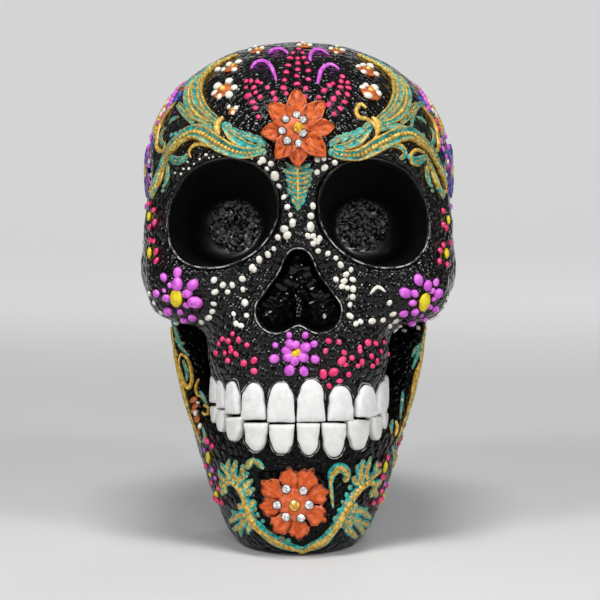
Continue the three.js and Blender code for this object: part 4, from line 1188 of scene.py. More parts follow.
# %% Stones
def stone_mesh():
    """A cut flat-backed stone: a table, eight sloped facets and a girdle."""
    rows = ((0.9, -0.3), (1.0, 0.16), (0.84, 0.42), (0.5, 0.66))
    sides = 8
    points = [(r * math.cos(a), r * math.sin(a), h) for n, (r, h) in enumerate(rows)
              for a in (2 * math.pi * (i + 0.5 * (n % 2)) / sides for i in range(sides))]
    faces = [tuple(reversed(range(sides))), tuple(3 * sides + i for i in range(sides))]
    for n in range(3):
        low, high = n * sides, (n + 1) * sides
        for i in range(sides):
            j = (i + 1) % sides
            if n % 2 == 0:
                faces += [(low + i, low + j, high + i), (high + i, low + j, high + j)]
            else:
                faces += [(low + i, low + j, high + j), (low + i, high + j, high + i)]
    mesh = plain_mesh("stone", np.array(points) / MM, faces, smooth=False)
    closed_normals(mesh)
    return mesh


stone = place("stone_shape", stone_mesh())
templates.append(stone)


def stone_finish(name, light, dark, metallic):
    finish = Finish(name, 0.08, metallic, coat=0.8)
    # Lighter and darker cells in the colour are painted reflections of the facets.
    finish.colour(finish.mix(finish.ramp(finish.cells(1.0), 0.3, 0.55), light, dark))
    finish.gloss(finish.ramp(finish.noise(0.8), 0.3, 0.7, 0.05, 0.16))
    finish.bump(finish.noise(0.7), 0.04)
    return finish.material


clear_stone = stone_finish("clear_stone_foil", (0.97, 0.97, 0.95), (0.45, 0.45, 0.44), 0.0)
amber_stone = stone_finish("amber_stone_foil", (0.98, 0.58, 0.06), (0.6, 0.27, 0.016), 0.1)
# The bezel under each stone is painted near-black: a painted shadow round the stone.
bezel_painted_shadow = brushed("bezel_painted_shadow", (0.06, 0.036, 0.024), (0.018, 0.011, 0.008), 0.4, 1.0, 0.08)
print("facets of a stone:", len(stone.data.polygons))

# %% Setting petals and stones out
# The flowers stand nearer to the camera than its target. Every second petal lies higher by a step in mm.
STONE_SHARE = 0.95
PETAL_STEP = 0.7


def set_petals(name, shape, paint, slot, centre, tips, root, half_width, height, lift, nodes=(), seed=3):
    """Petals from near a centre to their tips, all in picture points; half width and height in mm."""
    centre = np.array(centre, float)
    tips = np.array(tips, float)
    ways = tips - centre
    feet = sight(centre + ways * root)
    ends = sight(tips)
    middle = sight(centre[None])
    facing = unit(outward(skin_form, feet) + outward(skin_form, middle))
    span = ends - feet
    level = np.where(np.arange(len(tips)) % 2, lift + PETAL_STEP, lift)
    extent = np.array([(length, half_width, height) for length in np.linalg.norm(span, axis=1)])
    return set_shapes(name, shape, paint, slot, feet + facing * level[:, None], facing, span, extent, 0.05,
                      seed, nodes)


def set_stones(name, shape, paint, slot, spots, lift, height, nodes=(), seed=4):
    """Stones or beads from (x, y, radius) in picture points, raised above the skull by a lift in mm."""
    table = np.array(spots, float)
    feet = sight(table[:, :2])
    facing = outward(skin_form, feet)
    radius = table[:, 2] * MM_PER_PIXEL * STONE_SHARE
    extent = np.column_stack([radius, radius, radius * height])
    aim = np.tile((0.3, 0.2, 1.0), (len(feet), 1))
    return set_shapes(name, shape, paint, slot, feet + facing * lift, facing, aim, extent, 0.04, seed, nodes)


# %% Forehead flower
FOREHEAD_CENTRE = (296.6, 131.2)
FOREHEAD_TIPS = [(295, 94.8), (324, 105.8), (334, 128.8), (325, 157.8), (297, 167.8), (274, 162.8),
                 (259, 135.8), (268.5, 109.8)]
FOREHEAD_STONES = [(295.9, 119.1), (303.9, 123.6), (304.2, 136), (296.9, 145.6), (286, 142.7), (281.6, 134.1),
                   (285.4, 123.6)]
set_petals("forehead_petals", pointed_petal, orange_petals, "orange_paint", FOREHEAD_CENTRE, FOREHEAD_TIPS,
           0.12, 3.7, 1.5, 0.7, ["forehead_flower"])
set_stones("forehead_boss", drop, orange_petals, "orange_paint", [(*FOREHEAD_CENTRE, 15.5)], 2.0, 0.34)
set_stones("forehead_stone", stone, amber_stone, "amber_stone", [(*FOREHEAD_CENTRE, 5.6)], 4.0, 0.9,
           ["forehead_centre_gem"])
set_stones("forehead_stones", stone, clear_stone, "clear_stone",
           [(*spot, 3.9) for spot in FOREHEAD_STONES], 3.4, 0.9, [f"forehead_gem_{i}" for i in range(1, 8)])
set_stones("forehead_bezels", drop, bezel_painted_shadow, "orange_paint",
           [(*spot, 5.0) for spot in FOREHEAD_STONES] + [(*FOREHEAD_CENTRE, 7.0)], 3.3, 0.32)

# %% Chin flower
CHIN_CENTRE = (294.8, 504)
CHIN_TIPS = [(288.5, 467), (312.5, 469.5), (328.5, 489.5), (325, 519), (300, 538), (275, 530.5),
             (260.5, 505.5), (262, 480)]
CHIN_STONES = [(287, 489.3), (303, 490.8), (308.4, 504), (300.8, 515.7), (286.7, 514.8), (278.7, 504)]
set_petals("chin_petals", notched_petal, burnt_petals, "orange_paint", CHIN_CENTRE, CHIN_TIPS, 0.2, 3.75,
           1.6, 0.9, ["chin_flower"], seed=5)
set_stones("chin_boss", drop, burnt_petals, "orange_paint", [(*CHIN_CENTRE, 17)], 1.9, 0.3)
set_stones("chin_stone", stone, amber_stone, "amber_stone", [(*CHIN_CENTRE, 5.6)], 3.9, 0.9,
           ["chin_centre_gem"])
set_stones("chin_stones", stone, clear_stone, "clear_stone", [(*spot, 4.3) for spot in CHIN_STONES], 3.4, 0.9,
           [f"chin_gem_{i}" for i in range(1, 7)])
set_stones("chin_bezels", drop, bezel_painted_shadow, "orange_paint",
           [(*spot, 5.2) for spot in CHIN_STONES] + [(*CHIN_CENTRE, 7.5)], 3.1, 0.34)

# %% [markdown]
# ## Scrolls over the brows
# The scrolls are cast leaves in low relief: a gold rim on each edge, a teal trough between them and a row
# of gold beads along the middle of the large ones. Each is a path on the skull with a section swept along
# it. The section is narrow at both ends, so a path looks like a leaf. Gold or teal is chosen by the
# stored place across the band, which is how a brush would be led along a rim.

# %% Scroll paints
def scroll_paint(name, rim_from, vein, grained, ridged=0.15, loose=0.5, patchy=0.0, filled=0.0, tone=1.0):
    """Gold on the rims, and on the middle vein if there is one, with teal between them."""
    paint = Finish(name, 0.36, specular=0.28)
    across = paint.math("ABSOLUTE", paint.stored("across"))
    sway = paint.math("SUBTRACT", paint.noise(1.6), 0.5)
    ragged = paint.math("ADD", across, paint.times(sway, loose))
    if patchy:
        ragged = paint.math("ADD", ragged, paint.ramp(paint.noise(6.0), 0.62, 0.45, 0.0, patchy))
    gilt = paint.ramp(ragged, rim_from, rim_from + 0.16)
    if vein:
        gilt = paint.math("MAXIMUM", gilt, paint.ramp(ragged, vein, vein - 0.1))
    grains = paint.ramp(paint.cells(1.15), 0.42, 0.3)
    flecks = paint.times(grains, paint.ramp(paint.noise(3.2), 0.4, 0.52))
    gilt = paint.math("MAXIMUM", gilt, paint.times(flecks, grained))
    if filled:
        field = paint.times(paint.ramp(paint.noise(4.5), 0.5, 0.58),
                           paint.ramp(paint.noise(1.0), 0.36, 0.5))
        gilt = paint.math("MAXIMUM", gilt, paint.times(field, filled))
    teal = paint.mix(paint.ramp(paint.noise(2.4), 0.36, 0.64), (0.006, 0.19, 0.18), (0.018, 0.5, 0.46))
    gold = paint.mix(paint.ramp(paint.noise(1.3), 0.35, 0.66), (0.46, 0.24, 0.025), (0.9, 0.65, 0.15))
    paint.colour(paint.mix(1.0 - tone, paint.mix(gilt, teal, gold), (0.012, 0.01, 0.006)))
    paint.feed(paint.shader.inputs["Metallic"], paint.times(gilt, 0.2))
    paint.gloss(paint.ramp(paint.noise(1.1), 0.3, 0.7, 0.24, 0.46))
    ridge = paint.math("SINE", paint.times(paint.stored("along"), 2 * math.pi / (1.7 * MM)))
    relief = paint.math("ADD", paint.times(grains, 0.6), paint.times(ridge, ridged))
    paint.bump(paint.math("ADD", paint.noise(1.0), relief), 0.28)
    return paint.material


rim_paint = scroll_paint("rimmed_scroll_paint", 0.7, 0.0, 0.9, loose=0.9, filled=0.45)
leaf_paint = scroll_paint("leaf_scroll_paint", 0.86, 0.14, 0.55, loose=0.9, filled=0.3)
fan_paint = scroll_paint("fan_leaf_paint", 3.0, 0.55, 0.8, 0.25, 1.5)
lobe_paint = scroll_paint("leaf_lobe_paint", 3.0, 0.32, 0.4, 0.1, 1.3, tone=0.72)
stem_paint = scroll_paint("stem_scroll_paint", 3.0, 0.84, 0.8, 0.4, 0.6, 0.3)
print("scroll paints:", [paint.name for paint in (rim_paint, leaf_paint, fan_paint, lobe_paint, stem_paint)])

# %% Brow scrolls from their paths
# Each line: width in picture points, bead radius in mm, shares of the width at both ends, and the path.
BROW_RIMMED = [
    (15.5, 0.9, 0.5, 0.4, [(262, 151), (247, 153.5), (233, 151), (223, 146.5), (212, 140), (203, 134.5),
                           (194, 132.5), (185, 136), (177, 143), (168, 154), (163, 166), (158, 178),
                           (154, 190)]),
    (13.0, 0.75, 0.6, 0.75, [(214, 123), (203, 119), (194, 111.5), (190, 102), (189.5, 92), (193, 83),
                             (199, 76)]),
    (12.0, 0.6, 0.6, 0.5, [(217, 120.5), (207, 112.5), (201, 104), (198, 93), (200, 81), (208, 71), (220, 63),
                          (236, 55)]),
    (9.5, 0.5, 0.6, 0.5, [(194, 123), (187, 114), (178, 104)]),
    (8.5, 0.0, 0.6, 0.3, [(224, 126), (231, 136), (241, 143), (252, 147), (262, 147)]),
    (9.0, 0.5, 0.6, 0.3, [(170, 156), (163, 172), (157, 186), (150, 195)]),
]
BROW_LEAVES = [
    (8.0, [(218, 131), (208, 127.5), (197, 127), (186, 131), (176, 138), (168, 146), (161, 152)]),
    (6.5, [(165, 128), (161.5, 134), (162, 142), (166, 146)]),
    (5.0, [(169, 124), (172, 120), (179, 116.5)]),
    (8.5, [(168, 156), (178, 161), (188, 156.5)]),
    (8.0, [(168, 163), (168, 176), (164, 188)]),
    (8.5, [(158, 186), (154, 193), (152, 199)]),
    (7.0, [(222, 124), (228, 126), (232, 130)]),
    (7.5, [(229, 130), (236, 132), (240, 137)]),
    (7.5, [(236, 133), (243, 135), (247, 140)]),
    (7.5, [(243, 135), (250, 137), (254, 143)]),
    (7.5, [(250, 138), (257, 139), (261, 145)]),
    (6.5, [(257, 141), (262, 142), (265, 147)]),
    (5.0, [(262, 149), (265, 152), (263, 156)]),
]
BROW_GOLD = [
    (4.2, [(222, 151), (210, 146), (200, 144), (193, 146), (189, 152), (191, 158)]),
    (7.5, [(223, 117), (217, 124), (217.5, 131), (219, 137)]),
    (3.6, [(226, 133), (234, 143), (245, 149)]),
    (5.5, [(166, 143), (163, 151), (157.5, 149), (157.5, 138), (161, 124), (168, 112), (176, 102)]),
    (5.0, [(166, 166), (161, 180), (155, 190), (149.5, 192), (149.5, 185)]),
    (3.0, [(200, 131), (190, 131), (181, 135), (173, 142)]),
]
BROW_SCALLOPS = [(171.7, 135.3), (175.7, 134), (180.3, 132), (185, 130.2), (189.5, 128.2), (195, 126.6),
                 (201, 126), (207, 127), (164, 186), (152, 196), (163, 191), (186, 156), (190, 121),
                 (186, 114), (172, 104), (225, 124)]
RIGHT_MAIN = [(333, 153), (346, 155.5), (362, 153.5), (380, 144), (390, 139), (398, 135.5), (410, 134.5),
              (420, 141), (430, 151), (436, 162), (442, 175), (446, 186)]
RIGHT_CURLS = [(4.8, [(366, 108), (360.5, 104), (356.5, 109.5), (358.5, 117), (367, 119.5), (374.5, 126),
                      (377, 134.5), (372, 142)]),
               (4.2, [(424, 152.5), (416, 150), (410.5, 155.5), (412, 163), (419, 165.5)])]
RIGHT_LEAVES = [(6.2, [(383, 148.5), (393, 144.5), (402, 148), (405, 154.5), (400, 159)]),
                (6.0, [(411, 127), (413, 115), (418, 105.5), (425, 104.5), (430, 112)])]
MIRROR_SUM = 595.0
# A picture point on the face is a little smaller than at the camera's target, which lies further back.
FACE_MM_PER_PIXEL = 0.355


def other_side(path):
    return [(MIRROR_SUM - x, y) for x, y in path]


def picture_runs(rows, mirrored=False, start=0.45, end=0.15):
    """Turns rows of (width, path) or (width, bead, start, end, path) into runs on the skull."""
    paths, sizes = [], []
    for row in rows:
        width, bead, first, last, path = row if len(row) == 5 else (row[0], 0.0, start, end, row[1])
        paths.append(smooth_path(other_side(path) if mirrored else path, 2.0))
        sizes.append((width * FACE_MM_PER_PIXEL, bead, first, last))
    places = np.split(sight(np.vstack(paths)), np.cumsum([len(path) for path in paths])[:-1])
    return [(path, *size) for path, size in zip(places, sizes)]


for side, mirrored in (("left", False), ("right", True)):
    rimmed = picture_runs(BROW_RIMMED, mirrored)
    if mirrored:
        rimmed[0] = (sight(smooth_path(RIGHT_MAIN, 2.0)), *rimmed[0][1:])
    bands(f"brow_rims_{side}", rimmed_section, rim_paint, "teal_gold", rimmed, [f"brow_scroll_{side}"],
          gold_paint)
    bands(f"brow_leaves_{side}", leaf_section, leaf_paint, "teal_gold", picture_runs(BROW_LEAVES, mirrored))
    curls = picture_runs(BROW_GOLD, mirrored)
    if mirrored:
        curls += picture_runs(RIGHT_CURLS, start=0.7, end=0.5)
        bands("brow_leaves_extra", leaf_section, rim_paint, "teal_gold",
              picture_runs(RIGHT_LEAVES, start=0.6, end=0.5))
    bands(f"brow_curls_{side}", round_section, gold_paint, "teal_gold", curls)
    scallops = other_side(BROW_SCALLOPS) if mirrored else BROW_SCALLOPS
    drops(f"brow_scallops_{side}", teal_paint, "teal_gold", [(*spot, 2.3) for spot in scallops], 0.8, seed=14)

# %% [markdown]
# ## The leaf and the chin scrolls
# Under the forehead flower hangs a leaf of overlapping lobes, and two stems with fans of leaves rise from
# the chin. The lobes follow a rule with a little chance in it, so the edge is as uneven as a brushed one. A
# fan is a foot and a row of tips, which is less to list than whole paths.

# %% The leaf under the forehead flower
def leaf_lobes(stem, top, foot, count, reach):
    """Overlapping lobes on both sides of a stem, shorter towards the tip, their outer ends raised."""
    rows = []
    chance = np.random.default_rng(12)
    for k in range(count):
        share = k / (count - 1)
        root = top + (foot - top) * share
        for turn in (-1, 1):
            far = reach * (0.9 + 0.35 * share - 0.85 * share ** 1.7) * chance.uniform(0.84, 1.1)
            lift = chance.uniform(3.5, 6.5)
            width = chance.uniform(5.0, 7.4)
            bend = (stem + turn * far * 0.55, root - 0.2 * lift)
            rows.append((width, [(stem, root), bend, (stem + turn * far, root - lift)]))
    return rows + [(6.5, [(stem, foot - 4), (stem, foot + 3), (stem, foot + 7.5)])]


LEAF_LOBES = leaf_lobes(298, 168.5, 203, 8, 15.5)
bands("leaf_lobes", leaf_section, lobe_paint, "teal_gold", picture_runs(LEAF_LOBES, start=0.7, end=0.35),
      ["forehead_leaf"])
bands("leaf_stem", round_section, gold_paint, "teal_gold",
      picture_runs([(3.4, [(297, 160), (297.5, 175), (298, 190), (298, 205)])], end=0.3))

# %% Chin scrolls
CHIN_STEMS = {
    "left": [(303, 549), (290, 546), (277, 540), (262, 530), (254, 522), (250, 512), (246, 500), (241, 490),
             (235, 483.5), (229, 482), (226, 486), (227, 493)],
    "right": [(300, 551), (313, 545), (326, 537), (336, 525), (343, 512), (350, 500), (357, 491),
              (364, 485), (370, 482), (374, 486), (372, 494)],
}
CHIN_FANS = {
    "left": [((233, 484), [(219, 472), (221.5, 465.5), (229, 462)]),
             ((238, 486), [(236, 462.5), (243, 467), (247, 474)]), ((244, 494), [(251, 481), (252, 490)]),
             ((228, 487), [(220, 482), (222, 494)]),
             ((250, 514), [(233, 513), (231, 521), (235, 529), (241, 534), (248, 531)]),
             ((247, 505), [(238, 506), (256, 501)])],
    "right": [((361, 487), [(353, 476), (357, 468), (363, 462)]),
              ((367, 483), [(369.5, 460.5), (376, 463), (380, 471)]),
              ((372, 488), [(381, 482), (377, 495), (369, 496)]),
              ((346, 509), [(357, 506), (365, 510), (369, 517), (369, 525)]),
              ((342, 514), [(363, 533), (356, 537), (349, 534), (342, 527)])],
}
CHIN_DROPS = {
    "left": [(219, 471), (222, 465), (229, 461.5), (236, 462), (243, 466.5), (247.5, 473.5), (251.5, 481),
             (252.5, 489.5), (230.5, 521), (234, 529.5), (241, 535), (248, 532), (233, 512), (255, 509),
             (258, 515), (263, 521), (282, 538), (288, 541)],
    "right": [(353, 480), (350, 487.5), (346.5, 495), (343, 502.5), (339.5, 510), (335, 518), (357, 467),
              (363, 461.5), (369.5, 460), (376.5, 462.5), (380.5, 471), (366, 509.5), (370, 517),
              (370, 525.5), (364, 534), (356, 538)],
}
CHIN_EXTRA = {
    "left": [(7, [(262, 536), (275, 543), (288, 548), (300, 551)]),
             (8, [(247, 469), (250, 463), (255, 459)]), (7, [(253, 460), (258, 463), (264, 468.5)]),
             (5, [(255, 520), (262, 526), (268, 533)])],
    "right": [(4.5, [(333, 508), (331.5, 494), (330.5, 482), (333, 474)]),
              (10.5, [(330.5, 484), (332, 474), (338, 468), (345, 470), (347, 477), (343, 481)]),
              (7, [(304, 550), (316, 547), (327, 541), (335, 531)]),
              (5, [(340, 519), (334, 524), (328, 531)])],
}


def fan_rows(fans, width):
    """Leaves from a common foot to a row of tips, slightly bent."""
    rows = []
    for foot, tips in fans:
        foot = np.array(foot, float)
        for n, tip in enumerate(np.array(tips, float)):
            way = tip - foot
            bend = np.array([-way[1], way[0]]) * (0.12 if n % 2 else -0.12)
            rows.append((width, [tuple(foot + way * 0.12), tuple(foot + way * 0.55 + bend), tuple(tip)]))
    return rows


for side in ("left", "right"):
    bands(f"chin_stem_{side}", round_section, stem_paint, "teal_gold",
          picture_runs([(10.5, CHIN_STEMS[side])], start=0.75, end=0.4), [f"chin_scroll_{side}"])
    drops(f"chin_scallops_{side}", teal_paint, "teal_gold", [(*spot, 2.6) for spot in CHIN_DROPS[side]],
          0.5, seed=15, unevenness=0.25)
    bands(f"chin_leaves_{side}", leaf_section, fan_paint, "teal_gold",
          picture_runs(fan_rows(CHIN_FANS[side], 9.0), start=0.6, end=0.55)
          + picture_runs(CHIN_EXTRA[side], start=0.4, end=0.4))

# %% [markdown]
# ## Small flowers, commas and drops
# The rest is thick paint: a nozzle or the end of a brush leaves a round drop, and a short pull leaves a
# teardrop. Drops are one dome of a few faces, set out many times with slightly different sizes. They are
# placed through the picture, so they sit where the painter put them, but each stands on the skull itself.

# %% Violet commas on the crown
COMMAS = [
    [(251, 69), (255, 63), (262, 61), (269, 64), (273.5, 72), (276.5, 81)],
    [(268.5, 53.5), (273, 50), (280, 49), (285, 51), (288.5, 54.5)],
    [(310.5, 61.5), (310, 56), (313, 51), (319, 49.5), (325, 52), (329, 55.5)],
    [(317.5, 84), (319.5, 76), (322, 69), (329, 64.5), (335, 66), (339.5, 69.5)],
]
for number, path in enumerate(COMMAS, 1):
    bands(f"comma_{number}", round_section, violet_paint, "violet_paint",
          picture_runs([(4.6, path)], start=0.6, end=0.3), [f"crown_comma_{number}"])

# %% Crown daisies
DAISY_WHITE = [
    (229.3, 81.6, 4.2), (234.4, 88, 3.6), (217.8, 86.7, 4.0), (215, 93.3, 3.4), (219.8, 96.9, 3.2),
    (229.3, 95.1, 4.0), (218, 70, 3.2), (223.7, 70, 3.0), (229.3, 65, 3.4), (238.5, 62.4, 3.4),
    (234.4, 70, 3.4), (229, 107, 2.2), (236, 108, 2.2), (233, 113, 2.2), (250, 50.5, 2.6), (255, 47, 2.4),
    (262, 48.5, 2.6), (258, 53, 2.4), (299, 45.5, 2.6), (303, 43.5, 2.2), (310, 45.5, 2.6),
    (331, 49, 2.6), (337, 46.5, 2.2), (342, 50.5, 2.6), (336, 53, 2.4), (358.4, 67, 3.2),
    (363.2, 65.4, 3.2), (370, 66.4, 3.6), (363.5, 72.6, 3.4), (375.7, 74.6, 3.4), (365.5, 85.8, 3.4),
    (362.4, 88, 3.2), (374.2, 88.4, 3.8), (378.3, 94, 3.6), (368, 96, 3.8),
]
DAISY_RUST = [(222.7, 89.7, 10), (231, 67, 7.5), (232.3, 109.6, 4.5), (256.8, 49.7, 6.5), (304.6, 45, 6),
              (336.5, 49.6, 6.5), (367, 69.5, 9), (370.4, 91, 9.5)]
DAISY_GOLD = [(222.7, 89.7, 3.8), (233, 66.3, 3), (232.3, 109.6, 1.8), (256.8, 49.7, 2.6), (304.6, 44.8, 2.4),
              (336.5, 49.6, 2.6), (368.3, 69.5, 3.4), (370.4, 89.9, 3.2)]
PETAL_GROWTH = 1.1
daisy_beds = [(x, y + 1.5, r * PETAL_GROWTH, r * PETAL_GROWTH, 0) for x, y, r in DAISY_RUST]
drops("daisy_beds", rust_paint, "orange_paint", daisy_beds, 0.16)
drops("daisy_petals", cream_paint, "cream_paint", [(x, y, r * PETAL_GROWTH) for x, y, r in DAISY_WHITE], 0.8,
      [f"crown_daisy_{i}" for i in range(1, 9)], seed=2)
drops("daisy_eyes", gold_paint, "orange_paint", DAISY_GOLD, 1.1, seed=3)

# %% [markdown]
# The sprays over the forehead flower are pink drops on black stems that are cast like feathers. Black on
# black shows only by its glints, so bands for a stem and its short ribs are enough.

# %% Pink sprays on black stems
SPRAY_PINK = [
    (246.4, 81.5, 2.6), (251.5, 81.5, 2.6), (257.3, 82, 2.7), (261, 83.6, 2.4), (246, 88, 2.6),
    (253.8, 88, 2.8), (267.6, 88, 2.8), (255.8, 92.8, 2.8), (248.2, 96.5, 3.3), (273.2, 93.5, 2.8),
    (260.2, 97.6, 3), (275.5, 99.4, 3), (252.8, 102.7, 2.8), (255.6, 108.3, 2.8), (258.6, 117.2, 2.6),
    (293, 53.7, 2.6), (290, 58.5, 2.6), (288, 65.8, 2.8), (286.3, 72.8, 3), (284.6, 80.8, 3.2),
    (283.6, 88.5, 3.6), (286.5, 94, 2.8), (298.6, 49.6, 2.8), (297.6, 58.8, 2.6), (297.9, 63.9, 2.8),
    (297.6, 70.3, 3), (297, 76.7, 3), (297, 84.3, 3.2), (302.4, 53.4, 2.6), (304, 58.2, 2.6),
    (306.9, 63.6, 2.8), (308.5, 71.3, 3), (308.3, 79.9, 3.2), (305.8, 88.8, 3.2), (305.1, 97.4, 2.8),
    (342.3, 77, 2.6), (341, 81.8, 2.6), (340.2, 87.5, 2.8), (347.7, 83, 2.6), (348.3, 88.2, 2.6),
    (332.7, 84, 2.6), (329.2, 85.9, 2.6), (324, 91, 2.8), (337.8, 93.4, 2.8), (347.2, 94.7, 2.8),
    (318.7, 97.7, 2.8), (333.5, 99.3, 3), (344.5, 102.4, 2.8), (328.6, 105, 3), (340, 108.8, 2.8),
    (333.9, 114.3, 2.8),
]
SPRAY_STEMS = [
    [(266, 120), (258, 109), (252, 100), (247, 90), (245, 79)], [(268, 112), (261, 99), (256, 91), (252, 79)],
    [(272, 106), (266, 96), (261, 87), (256, 79)], [(281, 104), (275, 95), (268, 87), (260, 82)],
    [(287, 100), (284, 88), (286, 74), (289, 60), (294, 51)], [(297, 94), (297, 76), (298, 62), (298.5, 47)],
    [(304, 100), (308, 86), (308.5, 72), (305, 60), (301, 51)], [(312, 104), (319, 96), (326, 88), (334, 82)],
    [(322, 108), (330, 100), (336, 92), (341, 78)], [(326, 112), (334, 105), (341, 97), (347, 84)],
    [(328, 118), (336, 112), (343, 105), (349, 93)],
]


def barbed(stem, width, gap, reach):
    """A stem with short ribs on both sides, like a feather."""
    rows = [(width, stem)]
    path = smooth_path(stem, gap)
    for here, ahead in zip(path[1:-1], path[2:]):
        way = unit(ahead - here)
        for turn in (-1, 1):
            rib = way * 0.75 + turn * np.array([-way[1], way[0]]) * 0.9
            rows.append((width * 0.8, [tuple(here), tuple(here + rib * reach * 0.5 + way * 0.4),
                                       tuple(here + rib * reach)]))
    return rows


stem_rows = [row for stem in SPRAY_STEMS for row in barbed(stem, 2.6, 4.2, 5.0)]
bands("spray_stems", round_section, black_relief, "black_gloss", picture_runs(stem_rows, start=0.7, end=0.4))
drops("spray_drops", pink_paint, "pink_paint", SPRAY_PINK, 0.85, seed=6)

# %% Cream drops round the eyes and the nose
CREAM_LEFT = [
    (263, 160), (271, 163.7), (267, 168.8), (260, 162.5), (275, 176, 3.4), (279, 186), (284, 197),
    (287.4, 207), (290.5, 215), (292.6, 223), (284.4, 229, 3.4), (287.4, 235.4, 3.4), (278, 237.4),
    (274, 248.7), (268, 254.5), (259.2, 259.6), (252, 267.6), (254.3, 269.6), (242.3, 278.8),
    (242.9, 289.5), (232.3, 285), (222.7, 285), (227.6, 292), (214, 280), (215, 292), (213.7, 303.8),
    (212.4, 311.4), (208.6, 317.6), (201.5, 322), (176.7, 322.7), (161, 312.4), (154.3, 302.8),
    (149.7, 293.6), (245, 302.8, 3.4), (246.6, 315.5), (233.7, 314), (236, 323.7), (241, 325.7),
]
CREAM_RIGHT = [
    (317.3, 159.6), (323.8, 158.6), (334.7, 162.7), (324.5, 167.8), (317, 172.3), (312.8, 206, 3.4),
    (310.7, 216), (310.5, 226.7, 3.4), (308, 236), (313, 243.8), (313, 236), (317.4, 241.4),
    (319.6, 238.4), (318, 251), (327.8, 253.5), (336, 258), (340.6, 264.8), (341.3, 265), (351, 269.6),
    (346, 274.5), (336, 279.5), (344, 281), (352.8, 279.6), (342, 286.4), (347.4, 288), (353, 289),
    (352.6, 297), (350, 304.8), (350, 316), (356, 323.7), (360.5, 321.6), (372, 321.3), (383, 320),
    (389.5, 302.8), (393, 314), (395.6, 321), (389.8, 326), (400, 326), (396.4, 331), (404, 330.6),
    (418, 327.8), (426.5, 323.7), (436.7, 316.5), (433.7, 322), (447, 298), (444.4, 305),
]
cream_spots = [(*spot[:2], 4.0 if len(spot) == 3 else 2.9) for spot in CREAM_LEFT + CREAM_RIGHT]
drops("cream_drops", cream_paint, "cream_paint", cream_spots, 0.7, seed=7, unevenness=0.18)
bands("cream_strokes", round_section, cream_paint, "cream_paint",
      picture_runs([(3.6, [(370, 294), (377.6, 287), (386, 292)]),
                    (4.2, [(312.6, 235.6), (317, 241.4), (320, 238)])]))

# %% [markdown]
# ## Lips of the eyes and the nose
# A thin lip of paint runs round each opening, and its crest is painted pale in broken patches lower down,
# as a painted highlight. A lip in the skin itself would need a much finer mesh, so it is a band of its own.
# Its path is found by walking in from the front, along the wall of the opening, until the uncut bone is met.

# %% Thin raised lips round the eyes and the nose
LIP_GAP = 0.3
NOSE_HEIGHT = 92


def first_skin(x_of, z_of, count):
    """Walks inward from the front until the uncut bone is reached."""
    depth = np.linspace(-80, -20, 241)[None, :]
    x, z = x_of(depth), z_of(depth)
    inside = bone_form(x, np.broadcast_to(depth, x.shape), z) < 0
    hit = inside.argmax(1)
    row = np.arange(count)
    return np.stack([x[row, hit], depth[0, hit], z[row, hit]], 1)


def socket_lip(turn, count=90):
    angle = np.linspace(0, 2 * np.pi, count)[:, None]
    power = 2.5 - 0.5 * ease((0.16 - np.sin(angle)) / 0.32)
    squeeze = (np.abs(np.cos(angle)) ** power + np.abs(np.sin(angle)) ** power) ** (-1 / power)

    def rise(y):
        return (EYE_HALF_HEIGHT + LIP_GAP) * eye_size(y) * np.sin(angle) * squeeze

    def x_of(y):
        reach = (EYE_HALF_WIDTH + LIP_GAP) * eye_size(y) * np.cos(angle) * squeeze
        return turn * (eye_middle(y)[0] + reach + EYE_LEAN * below(rise(y)))

    def z_of(y):
        return eye_middle(y)[1] + rise(y)

    return first_skin(x_of, z_of, count)


def nose_lip(count=110):
    angle = np.linspace(0, 2 * np.pi, count)[:, None]
    reach = np.linspace(0, 26, 261)[None, :]
    outside = nose_pit(reach * np.sin(angle), 0 * reach - 70, NOSE_HEIGHT + reach * np.cos(angle)) > 0.4
    edge = reach[0, outside.argmax(1)][:, None]
    return first_skin(lambda y: edge * np.sin(angle) + 0 * y,
                      lambda y: NOSE_HEIGHT + edge * np.cos(angle) + 0 * y, count)


lips = [(socket_lip(-1), 1.1, 0.0, 1.0, 1.0), (socket_lip(1), 1.1, 0.0, 1.0, 1.0),
        (nose_lip(), 1.0, 0.0, 1.0, 1.0)]
print("points of the lips:", [len(lip[0]) for lip in lips])

# %% Black paint on the lips and the gum lines, with painted highlights on their crests
lip_paint = Finish("lip_paint_with_painted_highlight", 0.12, specular=0.45)
# The crest of each band is painted pale in broken patches, only low on the head: a painted highlight.
crest = lip_paint.ramp(lip_paint.math("ABSOLUTE", lip_paint.stored("across")), 0.5, 0.15)
painted_light_share = lip_paint.times(crest, lip_paint.ramp(lip_paint.noise(2.6, 4.0), 0.44, 0.56))
lip_place = lip_paint.node("ShaderNodeSeparateXYZ")
lip_paint.feed(lip_place.inputs[0], lip_paint.where)
painted_light_share = lip_paint.times(painted_light_share, lip_paint.ramp(lip_place.outputs["Z"], 0.124, 0.108))
lip_paint.colour(lip_paint.mix(painted_light_share, (0.003, 0.003, 0.003), (0.5, 0.49, 0.47)))
lip_paint.bump(lip_paint.noise(1.2), 0.15)
bands("bone_lips", round_section, lip_paint.material, "black_gloss", lips, form=bone_form)
# The gum lines take the same paint, so their crests carry the same painted highlight.
bands("gum_lines", round_section, lip_paint.material, "black_gloss",
      picture_runs(gum_rows, start=0.4, end=0.4))

